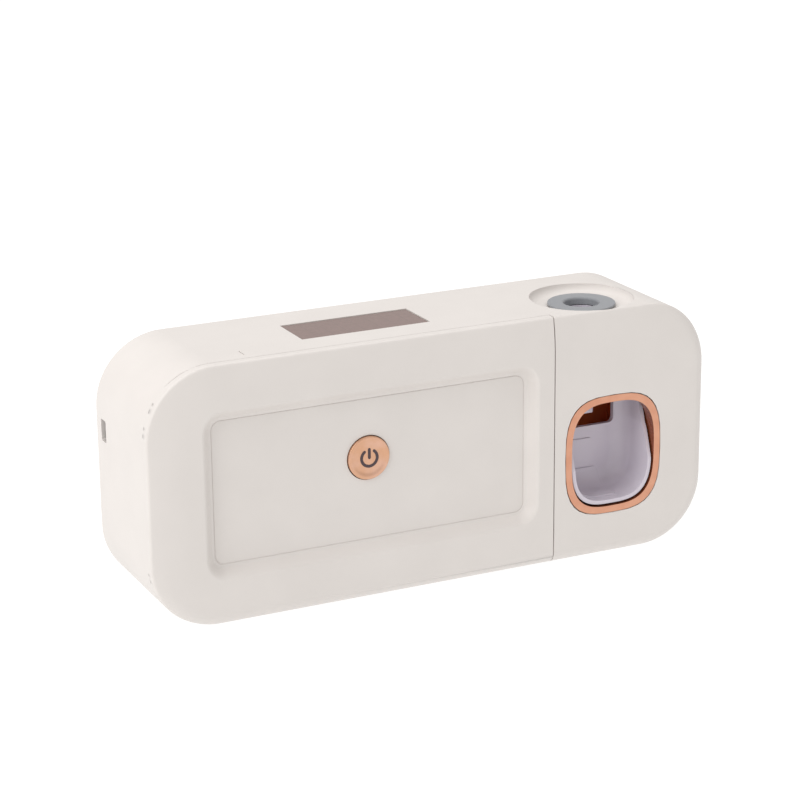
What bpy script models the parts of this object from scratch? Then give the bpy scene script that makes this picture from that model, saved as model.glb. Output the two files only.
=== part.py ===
# Wall or shelf toothbrush sterilizer with a flip-up door, a solar panel and a toothpaste pump.
# Metres, +Z up, -Y the front. The origin is on the underside, below the middle of the box.

import math

import bmesh
import bpy
from mathutils import Matrix, Vector

# Outer box
BODY_WIDTH = 0.210
BODY_HEIGHT = 0.090
BODY_DEPTH = 0.050
CORNER_RADIUS = 0.0241
FRONT_FILLET = 0.0046
SHELL_WALL = 0.0022
PART_GAP = 0.0003

# Door and its pressed panel
DISPENSER_WIDTH = 0.06154
DOOR_DEPTH = 0.0050
DOOR_WALL = 0.0019
DOOR_SEAM = 0.0004
RECESS_LEFT = 0.0180
RECESS_RIGHT = 0.00496
RECESS_BOTTOM = 0.0165
RECESS_HEIGHT = 0.0575
RECESS_DEPTH = 0.0037
RECESS_SLOPE = 0.0045
RECESS_CORNER = 0.0095
RECESS_WALL = 0.0016

# Concealed hinge: the axis lies inside the box, behind and below the door's top edge
HINGE_DROP = 0.0060
HINGE_SETBACK = 0.0048
HINGE_FROM_LEFT = 0.0374
HINGE_FROM_SEAM = 0.0075
HINGE_ARM_THICKNESS = 0.0030
HINGE_BOSS_RADIUS = 0.0032
HINGE_PIN_RADIUS = 0.0010
HINGE_PIN_LENGTH = 0.0088
HINGE_LUG_THICKNESS = 0.0022

# Power button and its switch
BUTTON_LEFT_OF_MIDDLE = 0.0018
BUTTON_HEIGHT = 0.0496
BUTTON_RADIUS = 0.00795
BUTTON_PROUD = 0.0009
BUTTON_FLANGE = 0.0006
BUTTON_FLANGE_WIDTH = 0.0011
BUTTON_TRAVEL = 0.0006
SWITCH_HOUSING_WIDTH = 0.026
SWITCH_HOUSING_HEIGHT = 0.023
SWITCH_HOUSING_WALL = 0.0012
SWITCH_BODY = 0.0060
SWITCH_BODY_HEIGHT = 0.0011
SWITCH_BOARD_THICKNESS = 0.0008

# Brush chamber
LINER_WALL = 0.0014
LINER_FROM_BACK = 0.0125
LINER_FROM_FRONT = 0.0135
RACK_THICKNESS = 0.0028
RACK_SLOTS = 4
RACK_LEFT_MARGIN = 0.0208
RACK_RIGHT_MARGIN = 0.0282
RACK_LEFT = 0.0222
NECK_SLOT_WIDTH = 0.0072
NECK_SLOT_END = 0.0020
HANDLE_SLOT_WIDTH = 0.0090
HANDLE_SLOT_END = 0.0045
MAGNET_RADIUS = 0.0030
MAGNET_THICKNESS = 0.0019
MAGNET_HEIGHT = 0.0095
MAGNET_FROM_LEFT = 0.0270
MAGNET_FROM_SEAM = 0.0105
MAGNET_WALL = 0.0010

# Ultraviolet lamps
LAMP_COUNT = 3
LAMP_PITCH = 0.024
LAMP_RIGHT_OF_MIDDLE = 0.0068
LAMP_FROM_TOP = 0.024
LAMP_SIZE = 0.0035
LAMP_THICKNESS = 0.0016
LAMP_BOARD_WIDTH = 0.072
LAMP_BOARD_HEIGHT = 0.012
LAMP_BOARD_THICKNESS = 0.0012
LAMP_COVER_WIDTH = 0.060
LAMP_COVER_HEIGHT = 0.009
LAMP_COVER_THICKNESS = 0.0015

# Board, charging socket and battery behind the liner
SOCKET_FROM_TOP = 0.0306
SOCKET_FROM_BACK = 0.0067
SOCKET_LENGTH = 0.0073
SOCKET_THICKNESS = 0.0026
SOCKET_DEPTH = 0.0070
SOCKET_WALL = 0.0004
SLOT_LENGTH = 0.0077
SLOT_THICKNESS = 0.0046
BOARD_WIDTH = 0.0336
BOARD_HEIGHT = 0.029
BOARD_THICKNESS = 0.0012
BATTERY_FROM_SEAM = 0.0840
BATTERY_WIDTH = 0.052
BATTERY_BOTTOM = 0.014
BATTERY_HEIGHT = 0.034
BATTERY_THICKNESS = 0.0070

# Solar panel in the top
SOLAR_LEFT_OF_MIDDLE = 0.0435
SOLAR_WIDTH = 0.0472
SOLAR_FRONT = 0.0162
SOLAR_DEPTH = 0.0187
SOLAR_THICKNESS = 0.0008
SOLAR_RECESS = 0.0002

# Back cover, its screws and the keyhole slots
SCREW_INSET = 0.0110
SCREW_HEAD_RADIUS = 0.0023
SCREW_HEAD_HEIGHT = 0.0013
SCREW_SHAFT_RADIUS = 0.00115
SCREW_SHAFT_LENGTH = 0.0080
SCREW_HEAD_DEPTH = 0.0002
SCREW_BOSS_RADIUS = 0.0039
SCREW_PAD_RADIUS = 0.0029
SCREW_BOSS_TOP = 0.0210
KEYHOLE_OFFSET = 0.055
KEYHOLE_FROM_TOP = 0.030
KEYHOLE_HEAD_RADIUS = 0.0042
KEYHOLE_NECK_RADIUS = 0.0021
KEYHOLE_RISE = 0.0080

# Toothpaste pump: its axis and the dished inlet
PUMP_FROM_RIGHT = 0.0397
PUMP_FROM_FRONT = 0.0203
DISH_RADIUS = 0.0185
DISH_DEPTH = 0.0028
DISH_SLOPE = 0.0030
DISH_FLOOR = 0.0016
DISH_SHELL = 0.0011
SEAL_RADIUS = 0.0120
SEAL_THICKNESS = 0.0007
SEAL_NECK_RADIUS = 0.0094
SEAL_BORE_RADIUS = 0.0062
SEAL_CONE = 0.0010
CYLINDER_FLANGE_RADIUS = 0.0115
CYLINDER_FLANGE = 0.0016
CYLINDER_MOUTH_WALL = 0.0016
CYLINDER_WALL = 0.0020
CYLINDER_MOUTH_DEPTH = 0.0033
CYLINDER_LENGTH = 0.0117
PUMP_SCREW_OFFSET = 0.0162
PUMP_TAB_RADIUS = 0.0026
PUMP_SCREW_RADIUS = 0.0008
PUMP_SCREW_HEAD_RADIUS = 0.0016
PUMP_SCREW_LENGTH = 0.0027
PISTON_RADIUS = 0.0040
PISTON_INSERTION = 0.0048
PISTON_BORE_RADIUS = 0.0022
COLLAR_RADIUS = 0.0080
COLLAR_HALF_HEIGHT = 0.0019
LUG_RADIUS = 0.0016
STEM_RADIUS = 0.0042
STEM_LENGTH = 0.0143
NOZZLE_WALL = 0.0010
NOZZLE_OVERLAP = 0.0085
NOZZLE_TIP = 0.0022
NOZZLE_OUTLET_RADIUS = 0.0020
VALVE_THICKNESS = 0.0008
VALVE_BORE_RADIUS = 0.0008
SPRING_WIRE = 0.0008
SPRING_MEAN_RADIUS = 0.0052
SPRING_PITCH = 0.00130

# Framed window
WINDOW_FROM_RIGHT = 0.0377
WINDOW_HEIGHT_SHARE = 0.41667
WINDOW_HALF_WIDTH = 0.0166
WINDOW_TALL_SHARE = 0.42667
WINDOW_POWER = 3.2
RING_FACE = 0.0024
RING_FACE_DEPTH = 0.0014
RING_TUNNEL_WALL = 0.0013
RING_DEPTH = 0.0086
WINDOW_COLLAR = 0.0018
WINDOW_COLLAR_DEPTH = 0.0018

# Well behind the window
WELL_SIDE_GAP = 0.0002
WELL_WALL = 0.0014
WELL_FLOOR_SHARE = 1.38
WELL_TOP_ABOVE = 0.0038
WELL_DEPTH = 0.0256
WELL_POST_ASIDE = 0.0057
WELL_POST_SHARES = (0.755, -0.807)
WELL_POST_LEFT = 0.0112
WELL_POST_UP = 0.0060
WELL_POST_RADIUS = 0.0026
WELL_TAB_RADIUS = 0.0030
WELL_SCREW_RADIUS = 0.0009
WELL_SCREW_HEAD_RADIUS = 0.0018
WELL_SCREW_HEAD_HEIGHT = 0.0012
WELL_SCREW_LENGTH = 0.0060

# Push lever
LEVER_GAP = 0.0009
LEVER_RIM_DEPTH = 0.0027
LEVER_FLOOR_DEPTH = 0.0180
LEVER_WALL = 0.0022
LEVER_SWING = math.radians(14)
LEVER_AXIS_FROM_FRONT = 0.0075
LEVER_AXIS_ABOVE = 0.0083
LEVER_BOSS_RADIUS = 0.0033
LEVER_PIN_RADIUS = 0.00125
LEVER_SLOT_PLAY = 0.0005
LEVER_CUT_HALF_WIDTH = 0.0114
LEVER_CUT_BOTTOM = 0.0044
LEVER_PAD_HEIGHT = 0.0008

# Places worked out from the sizes above
LEFT = -BODY_WIDTH / 2
RIGHT = BODY_WIDTH / 2
FRONT = -BODY_DEPTH / 2
BACK = BODY_DEPTH / 2
TOP = BODY_HEIGHT
PARTING = FRONT + DOOR_DEPTH
DOOR_RIGHT = RIGHT - DISPENSER_WIDTH
DOOR_MIDDLE = (LEFT + DOOR_RIGHT) / 2
SEAM_RIGHT = DOOR_RIGHT + DOOR_SEAM
DOOR_REAR = PARTING - PART_GAP / 2
RIM_FRONT = PARTING + PART_GAP / 2
PARTITION_RIGHT = SEAM_RIGHT + SHELL_WALL
HINGE_Y = PARTING + HINGE_SETBACK - 0.0001
HINGE_Z = TOP - HINGE_DROP
RECESS_FLOOR = FRONT + RECESS_DEPTH
RECESS_REAR = RECESS_FLOOR + RECESS_WALL
BUTTON_X = (LEFT + RECESS_LEFT + DOOR_RIGHT - RECESS_RIGHT) / 2 - BUTTON_LEFT_OF_MIDDLE
BUTTON_REAR = RECESS_REAR + PART_GAP + BUTTON_FLANGE
STEM_REAR = BUTTON_REAR + BUTTON_FLANGE
SWITCH_FRONT = STEM_REAR + BUTTON_TRAVEL + PART_GAP
SWITCH_REAR = SWITCH_FRONT + PART_GAP + SWITCH_BODY_HEIGHT
SWITCH_BOARD_FRONT = SWITCH_REAR + PART_GAP
COVER_INNER = BACK - SHELL_WALL
LINER_FRONT = FRONT + LINER_FROM_FRONT
LINER_BACK = BACK - LINER_FROM_BACK
LINER_REAR_INNER = LINER_BACK - LINER_WALL
LINER_FLOOR = SHELL_WALL + PART_GAP + LINER_WALL
RACK_BOTTOM = LINER_FLOOR + PART_GAP
RACK_TOP = RACK_BOTTOM + RACK_THICKNESS
LAMP_HEIGHT = TOP - LAMP_FROM_TOP
SOCKET_HEIGHT = TOP - SOCKET_FROM_TOP
SOCKET_Y = BACK - SOCKET_FROM_BACK
BOARD_FRONT = SOCKET_Y + SOCKET_THICKNESS / 2 + PART_GAP
KEYHOLE_HEIGHT = TOP - KEYHOLE_FROM_TOP
PUMP_X = RIGHT - PUMP_FROM_RIGHT
PUMP_Y = FRONT + PUMP_FROM_FRONT
DISH_BOTTOM = TOP - DISH_DEPTH
DISH_UNDERSIDE = DISH_BOTTOM - DISH_FLOOR
CYLINDER_TOP = DISH_UNDERSIDE - PART_GAP
CYLINDER_BOTTOM = CYLINDER_TOP - CYLINDER_LENGTH
MOUTH_BOTTOM = CYLINDER_TOP - CYLINDER_MOUTH_DEPTH
PISTON_TOP = CYLINDER_BOTTOM + PISTON_INSERTION
WINDOW_X = RIGHT - WINDOW_FROM_RIGHT
WINDOW_HEIGHT = BODY_HEIGHT * WINDOW_HEIGHT_SHARE
WINDOW_HALF_HEIGHT = BODY_HEIGHT * WINDOW_TALL_SHARE / 2
FRONT_WALL_REAR = FRONT + SHELL_WALL
RING_REAR = FRONT + RING_DEPTH
WELL_FRONT = RING_REAR + PART_GAP
WELL_BACK = WELL_FRONT + WELL_DEPTH - WELL_WALL
WELL_FLOOR = WINDOW_HEIGHT - WINDOW_HALF_HEIGHT * WELL_FLOOR_SHARE
WELL_TOP = WINDOW_HEIGHT + WINDOW_HALF_HEIGHT + WELL_TOP_ABOVE
LEVER_Y = FRONT + LEVER_AXIS_FROM_FRONT
LEVER_Z = WINDOW_HEIGHT + WINDOW_HALF_HEIGHT + LEVER_AXIS_ABOVE
LEVER_RIM = FRONT + LEVER_RIM_DEPTH
LEVER_FLOOR = FRONT + LEVER_FLOOR_DEPTH
LEVER_HALF_WIDTH = WINDOW_HALF_WIDTH - LEVER_GAP
LEVER_HALF_HEIGHT = WINDOW_HALF_HEIGHT - LEVER_GAP + 0.0003
LEVER_CENTRE_Z = WINDOW_HEIGHT + 0.0004
LEVER_STROKE = (PUMP_Y - LEVER_Y) * math.sin(LEVER_SWING)
STEM_BOTTOM = LEVER_Z - COLLAR_HALF_HEIGHT - STEM_LENGTH
NOZZLE_BOTTOM = STEM_BOTTOM - NOZZLE_TIP - PART_GAP
CORNER_STEPS = 9
FILLET_STEPS = 4
ROUND_SIDES = 20
OUTLINE_STEPS = 32


def clear_scene():
    for obj in list(bpy.data.objects):
        bpy.data.objects.remove(obj, do_unlink=True)


def new_collection(name):
    collection = bpy.data.collections.new(name)
    bpy.context.scene.collection.children.link(collection)
    return collection


clear_scene()
PARTS = new_collection("toothbrush_sterilizer")
CUTTERS = new_collection("cutters")
CUTTERS.hide_render = True


def srgb(hex_colour):
    channels = [int(hex_colour[i:i + 2], 16) / 255 for i in (0, 2, 4)]
    linear = [c / 12.92 if c <= 0.04045 else ((c + 0.055) / 1.055) ** 2.4 for c in channels]
    return (*linear, 1.0)


def plain_material(name, hex_colour, roughness, metallic=0.0, alpha=1.0):
    material = bpy.data.materials.new(name)
    material.use_nodes = True
    shader = material.node_tree.nodes["Principled BSDF"]
    shader.inputs["Base Color"].default_value = srgb(hex_colour)
    shader.inputs["Roughness"].default_value = roughness
    shader.inputs["Metallic"].default_value = metallic
    shader.inputs["Alpha"].default_value = alpha
    material.diffuse_color = srgb(hex_colour)
    return material


CREAM_ABS = plain_material("cream_abs", "E9E1D6", 0.35)
ROSE_GOLD = plain_material("rose_gold_plating", "E3A486", 0.22, 1.0)
DARK_COPPER = plain_material("dark_copper_lining", "5C2A12", 0.25, 0.6)
LILAC_WHITE = plain_material("white_lever_plastic", "CFC8D2", 0.30)
GREY_SILICONE = plain_material("grey_silicone", "8B91A0", 0.55)
SOLAR_BROWN = plain_material("solar_cell", "7C625C", 0.25)
STEEL = plain_material("steel", "B9BCC0", 0.30, 1.0)
BOARD_GREEN = plain_material("circuit_board", "1F5A3A", 0.50)
LAMP_CERAMIC = plain_material("lamp_package", "F2F0E6", 0.40)
CLEAR = plain_material("clear_quartz", "E8F2F6", 0.05, 0.0, 0.3)
BLACK_PLASTIC = plain_material("black_plastic", "1E1E20", 0.45)
BATTERY_SILVER = plain_material("battery_foil", "AEB2B8", 0.35, 0.6)
LINER_GREY = plain_material("chamber_liner", "D9DADD", 0.20)


def finish_part(obj, material, angle=35):
    """Gives a finished piece its material and its smooth shading."""
    obj.data.materials.clear()
    obj.data.materials.append(material)
    obj.data.shade_smooth()
    obj.data.set_sharp_from_angle(angle=math.radians(angle))
    return obj


def link(obj, cutter=False):
    (CUTTERS if cutter else PARTS).objects.link(obj)
    if cutter:
        obj.hide_render = True
        obj.display_type = "WIRE"
    return obj


def mesh_object(name, bm, cutter=False):
    bmesh.ops.recalc_face_normals(bm, faces=bm.faces)
    mesh = bpy.data.meshes.new(name)
    bm.to_mesh(mesh)
    bm.free()
    return link(bpy.data.objects.new(name, mesh), cutter)


def box(name, low, high, cutter=True, round_axis=None, radius=0.0, steps=4):
    """A box between two corners. Its edges along round_axis can be rounded."""
    bm = bmesh.new()
    bmesh.ops.create_cube(bm, size=1)
    size = [high[i] - low[i] for i in range(3)]
    middle = [(high[i] + low[i]) / 2 for i in range(3)]
    bmesh.ops.scale(bm, vec=size, verts=bm.verts)
    bmesh.ops.translate(bm, vec=middle, verts=bm.verts)
    if round_axis is not None and radius > 0:
        edges = []
        for edge in bm.edges:
            along = edge.verts[1].co - edge.verts[0].co
            if abs(along[round_axis]) > 0.99 * along.length:
                edges.append(edge)
        bmesh.ops.bevel(bm, geom=edges, offset=radius, segments=steps, profile=0.5, affect="EDGES")
    return mesh_object(name, bm, cutter)


def rod(name, centre, axis, radius, start, end, cutter=True, sides=ROUND_SIDES):
    """A cylinder along one axis. start and end are places on that axis."""
    bm = bmesh.new()
    bmesh.ops.create_cone(bm, cap_ends=True, segments=sides, radius1=radius, radius2=radius,
                          depth=end - start)
    turn = {0: Matrix.Rotation(math.pi / 2, 4, "Y"), 1: Matrix.Rotation(-math.pi / 2, 4, "X"),
            2: Matrix.Identity(4)}[axis]
    bmesh.ops.transform(bm, matrix=turn, verts=bm.verts)
    place = Vector(centre)
    place[axis] = (start + end) / 2
    bmesh.ops.translate(bm, vec=place, verts=bm.verts)
    return mesh_object(name, bm, cutter)


def turned(name, profile, origin, axis=2, cutter=True, steps=ROUND_SIDES):
    """A turned piece. The profile is (radius, height) pairs from the top down its outer side."""
    mesh = bpy.data.meshes.new(name)
    points = [(radius, 0, height) for radius, height in profile]
    mesh.from_pydata(points, [(i, i + 1) for i in range(len(points) - 1)], [])
    obj = link(bpy.data.objects.new(name, mesh), cutter)
    screw = obj.modifiers.new("Turn", "SCREW")
    screw.steps = screw.render_steps = steps
    screw.use_merge_vertices = True
    screw.merge_threshold = 0.00001
    turn = {0: Matrix.Rotation(math.pi / 2, 4, "Y"), 1: Matrix.Rotation(-math.pi / 2, 4, "X"),
            2: Matrix.Identity(4)}[axis]
    obj.matrix_world = Matrix.Translation(origin) @ turn
    return obj


def ring_profile(profile):
    """Closes a turned profile that doesn't reach its axis."""
    return profile + [profile[0]]


def loft(name, outlines, cutter=True):
    """A solid through outlines with the same number of points, capped at both ends."""
    bm = bmesh.new()
    rings = [[bm.verts.new(point) for point in outline] for outline in outlines]
    count = len(rings[0])
    for lower, upper in zip(rings, rings[1:]):
        for i in range(count):
            j = (i + 1) % count
            bm.faces.new((lower[i], lower[j], upper[j], upper[i]))
    bm.faces.new(reversed(rings[0]))
    bm.faces.new(rings[-1])
    return mesh_object(name, bm, cutter)


def looped_loft(name, outlines, cutter=False):
    """A closed band through outlines, the last joined to the first, such as a frame."""
    bm = bmesh.new()
    rings = [[bm.verts.new(point) for point in outline] for outline in outlines]
    count = len(rings[0])
    for lower, upper in zip(rings, rings[1:] + rings[:1]):
        for i in range(count):
            j = (i + 1) % count
            bm.faces.new((lower[i], lower[j], upper[j], upper[i]))
    return mesh_object(name, bm, cutter)


def prism(name, points, axis, start, end, cutter=True):
    """A flat outline pushed along one axis. The points give the other two coordinates in order."""
    ends = []
    for place in (start, end):
        ends.append([Vector(point[:axis] + (place,) + point[axis:]) for point in points])
    return loft(name, ends, cutter)


def rounded_outline(low_x, high_x, low_z, high_z, radius, y, steps=5):
    """A rectangle with round corners in the XZ plane at one depth."""
    points = []
    corners = ((high_x - radius, high_z - radius, 0), (low_x + radius, high_z - radius, 90),
               (low_x + radius, low_z + radius, 180), (high_x - radius, low_z + radius, 270))
    for centre_x, centre_z, start in corners:
        for k in range(steps + 1):
            angle = math.radians(start + 90 * k / steps)
            points.append((centre_x + radius * math.cos(angle), y,
                           centre_z + radius * math.sin(angle)))
    return points


def squircle(half_width, half_height, y, centre_z=WINDOW_HEIGHT):
    """The window's outline: a superellipse in the XZ plane at one depth."""
    points = []
    for k in range(OUTLINE_STEPS):
        angle = 2 * math.pi * k / OUTLINE_STEPS
        across, up = math.cos(angle), math.sin(angle)
        power = 2 / WINDOW_POWER
        points.append((WINDOW_X + half_width * math.copysign(abs(across) ** power, across), y,
                       centre_z + half_height * math.copysign(abs(up) ** power, up)))
    return points


def window_outline(offset, y):
    return squircle(WINDOW_HALF_WIDTH + offset, WINDOW_HALF_HEIGHT + offset, y)


def body_block(name, inset, start, end, fillet=0.0, cutter=True):
    """The box's front outline, drawn in by inset, between two depths, with a rounded front edge."""
    bm = bmesh.new()
    bmesh.ops.create_cube(bm, size=1)
    size = (BODY_WIDTH - 2 * inset, end - start, BODY_HEIGHT - 2 * inset)
    bmesh.ops.scale(bm, vec=size, verts=bm.verts)
    bmesh.ops.translate(bm, vec=(0, (start + end) / 2, BODY_HEIGHT / 2), verts=bm.verts)
    edges = []
    for edge in bm.edges:
        along = edge.verts[1].co - edge.verts[0].co
        if abs(along.y) > 0.99 * along.length:
            edges.append(edge)
    bmesh.ops.bevel(bm, geom=edges, offset=CORNER_RADIUS - inset, segments=CORNER_STEPS,
                    profile=0.5, affect="EDGES")
    if fillet > 0:
        rim = []
        for edge in bm.edges:
            if all(abs(vert.co.y - start) < 1e-6 for vert in edge.verts):
                rim.append(edge)
        bmesh.ops.bevel(bm, geom=rim, offset=fillet, segments=FILLET_STEPS, profile=0.5, affect="EDGES")
    return mesh_object(name, bm, cutter)


def combine(target, other, operation):
    modifier = target.modifiers.new(other.name, "BOOLEAN")
    modifier.operation = operation
    modifier.object = other
    modifier.solver = "EXACT"
    return target


def cut(target, *others):
    for other in others:
        combine(target, other, "DIFFERENCE")
    return target


def join(target, *others):
    for other in others:
        combine(target, other, "UNION")
    return target


def keep(target, other):
    return combine(target, other, "INTERSECT")


def bake(obj):
    """Replaces an object's mesh by its evaluated one, without its modifiers."""
    graph = bpy.context.evaluated_depsgraph_get()
    mesh = bpy.data.meshes.new_from_object(obj.evaluated_get(graph))
    obj.modifiers.clear()
    obj.data = mesh
    return obj


# The door's top edge and the shell's rim below it slide past each other on this turned form.


def hinge_sweep(name, clearance):
    """The form that the door's rear edge sweeps about its hinge, made smaller by clearance."""
    reach = HINGE_SETBACK
    corner_x = LEFT + CORNER_RADIUS
    drop = HINGE_Z - (TOP - CORNER_RADIUS)
    start_x = corner_x - math.sqrt(CORNER_RADIUS ** 2 - drop ** 2)
    steps = 6
    profile = [(0.0, PARTITION_RIGHT)]
    profile.append((math.hypot(reach, HINGE_DROP) - clearance, PARTITION_RIGHT))
    for k in range(steps + 1):
        x = corner_x + (start_x - corner_x) * k / steps
        height = TOP - CORNER_RADIUS + math.sqrt(CORNER_RADIUS ** 2 - (corner_x - x) ** 2)
        rise = max(height - HINGE_Z, 0.0)
        profile.append((math.hypot(reach, rise) - clearance, x))
    profile.append((0.0, start_x))
    return turned(name, profile, (0, HINGE_Y, HINGE_Z), axis=0, steps=48)


def hinge_places():
    """The middle of each hinge arm, from the left."""
    return [LEFT + HINGE_FROM_LEFT, DOOR_RIGHT - HINGE_FROM_SEAM]


def at_hinge(points):
    return [(HINGE_Y + y, HINGE_Z + z) for y, z in points]


# Shell


def door_opening():
    """The room for the door in the shell, without the lip that reaches under the door's top edge."""
    step = HINGE_Z + 0.0002
    outline = [(FRONT - 0.01, -0.01), (RIM_FRONT, -0.01), (RIM_FRONT, step), (HINGE_Y, step),
               (HINGE_Y, TOP + 0.01), (FRONT - 0.01, TOP + 0.01)]
    opening = prism("door_opening", outline, 0, LEFT - 0.01, SEAM_RIGHT)
    lip = hinge_sweep("lip_sweep", PART_GAP)
    keep(lip, box("lip_limit", (LEFT - 0.01, FRONT - 0.01, HINGE_Z), (RIGHT, BACK, TOP + 0.02)))
    return cut(opening, lip)


def shell_cavities():
    """The brush chamber's room and the dispenser's room, open to the back."""
    chamber = body_block("chamber_room", SHELL_WALL, FRONT - 0.01, BACK + 0.01)
    keep(chamber, box("chamber_limit", (LEFT - 0.01, FRONT - 0.02, -0.01),
                      (SEAM_RIGHT, BACK + 0.02, TOP + 0.01)))
    dispenser = body_block("dispenser_room", SHELL_WALL, FRONT_WALL_REAR, BACK + 0.01,
                           FRONT_FILLET - SHELL_WALL)
    keep(dispenser, box("dispenser_limit", (PARTITION_RIGHT, FRONT - 0.02, -0.01),
                        (RIGHT + 0.01, BACK + 0.02, TOP + 0.01)))
    passage = box("wire_passage", (SEAM_RIGHT - 0.002, COVER_INNER - 0.0048, SHELL_WALL),
                  (PARTITION_RIGHT + 0.002, BACK + 0.01, TOP - SHELL_WALL))
    return [chamber, dispenser, passage]


def dish_body():
    """The thick disc below the top wall that the dish is sunk into."""
    return rod("dish_body", (PUMP_X, PUMP_Y, 0), 2, DISH_RADIUS + DISH_SHELL, DISH_UNDERSIDE,
               TOP - SHELL_WALL / 2, sides=28)


def dish_cutter():
    """The dish: a rounded slope down to a flat floor with the seal's hole."""
    floor_radius = DISH_RADIUS - DISH_SLOPE
    profile = [(0.0, TOP + 0.005), (DISH_RADIUS + 0.0002, TOP + 0.005)]
    steps = 4
    for k in range(steps + 1):
        angle = math.pi / 2 * k / steps
        profile.append((floor_radius + DISH_SLOPE * math.cos(angle) ** 1.2,
                        DISH_BOTTOM + DISH_DEPTH * (1 - math.sin(angle)) + 0.00001 * (steps - k)))
    hole = SEAL_NECK_RADIUS + PART_GAP
    profile += [(hole, DISH_BOTTOM), (hole, DISH_UNDERSIDE - 0.002), (0.0, DISH_UNDERSIDE - 0.002)]
    return turned("dish_cutter", profile, (PUMP_X, PUMP_Y, 0), steps=32)


def solar_pocket():
    floor = TOP - SOLAR_RECESS - SOLAR_THICKNESS - PART_GAP
    low = (-SOLAR_LEFT_OF_MIDDLE - PART_GAP / 2, FRONT + SOLAR_FRONT - PART_GAP / 2, floor)
    high = (-SOLAR_LEFT_OF_MIDDLE + SOLAR_WIDTH + PART_GAP / 2,
            FRONT + SOLAR_FRONT + SOLAR_DEPTH + PART_GAP / 2, TOP + 0.005)
    return box("solar_pocket", low, high)


def rack_ends():
    """The comb's left and right ends, inside the liner."""
    return LEFT + RACK_LEFT, SEAM_RIGHT - 2 * PART_GAP - LINER_WALL - LINER_WALL / 2


def neck_places():
    """The middles of the neck slots, spread evenly between the comb's margins."""
    left, right = rack_ends()
    first, last = left + RACK_LEFT_MARGIN, right - RACK_RIGHT_MARGIN
    return [first + (last - first) * i / (RACK_SLOTS - 1) for i in range(RACK_SLOTS)]


def brush_slot(name, x, width, end, low_z, high_z):
    """A slot that is open to the front and round at the back."""
    steps = 8
    radius = width / 2
    points = [(x - radius, FRONT - 0.01)]
    for k in range(steps + 1):
        angle = math.pi - math.pi * k / steps
        points.append((x + radius * math.cos(angle), end - radius + radius * math.sin(angle)))
    points.append((x + radius, FRONT - 0.01))
    return prism(name, points, 2, low_z, high_z)


def screw_places():
    across = BODY_WIDTH / 2 - SCREW_INSET
    return [(side * across, height) for side in (-1, 1)
            for height in (SCREW_INSET, BODY_HEIGHT - SCREW_INSET)]


def hinge_lugs(shell):
    """Two plates beside each hinge arm, hanging from the top wall, bored for the pin."""
    for number, x in enumerate(hinge_places(), 1):
        for side in (-1, 1):
            near = x + side * (HINGE_ARM_THICKNESS / 2 + PART_GAP)
            far = near + side * HINGE_LUG_THICKNESS
            width = HINGE_BOSS_RADIUS
            outline = at_hinge([(-width - 0.0004, HINGE_DROP - SHELL_WALL / 2),
                                (-width, -width * 0.4), (-width * 0.5, -width),
                                (width * 0.5, -width), (width, -width * 0.4),
                                (width + 0.0004, HINGE_DROP - SHELL_WALL / 2)])
            join(shell, prism(f"hinge_lug_{number}_{side}", outline, 0, min(near, far), max(near, far)))
        bore = HINGE_PIN_RADIUS + PART_GAP
        cut(shell, rod(f"lug_bore_{number}", (0, HINGE_Y, HINGE_Z), 0, bore,
                       x - HINGE_PIN_LENGTH / 2 - PART_GAP, x + HINGE_PIN_LENGTH / 2 + PART_GAP, sides=14))


def well_post_places():
    aside = WINDOW_X + WINDOW_HALF_WIDTH + WELL_POST_ASIDE
    places = [(aside, WINDOW_HEIGHT + WINDOW_HALF_HEIGHT * share) for share in WELL_POST_SHARES]
    return places + [(WINDOW_X - WELL_POST_LEFT, WELL_POST_UP)]


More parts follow.
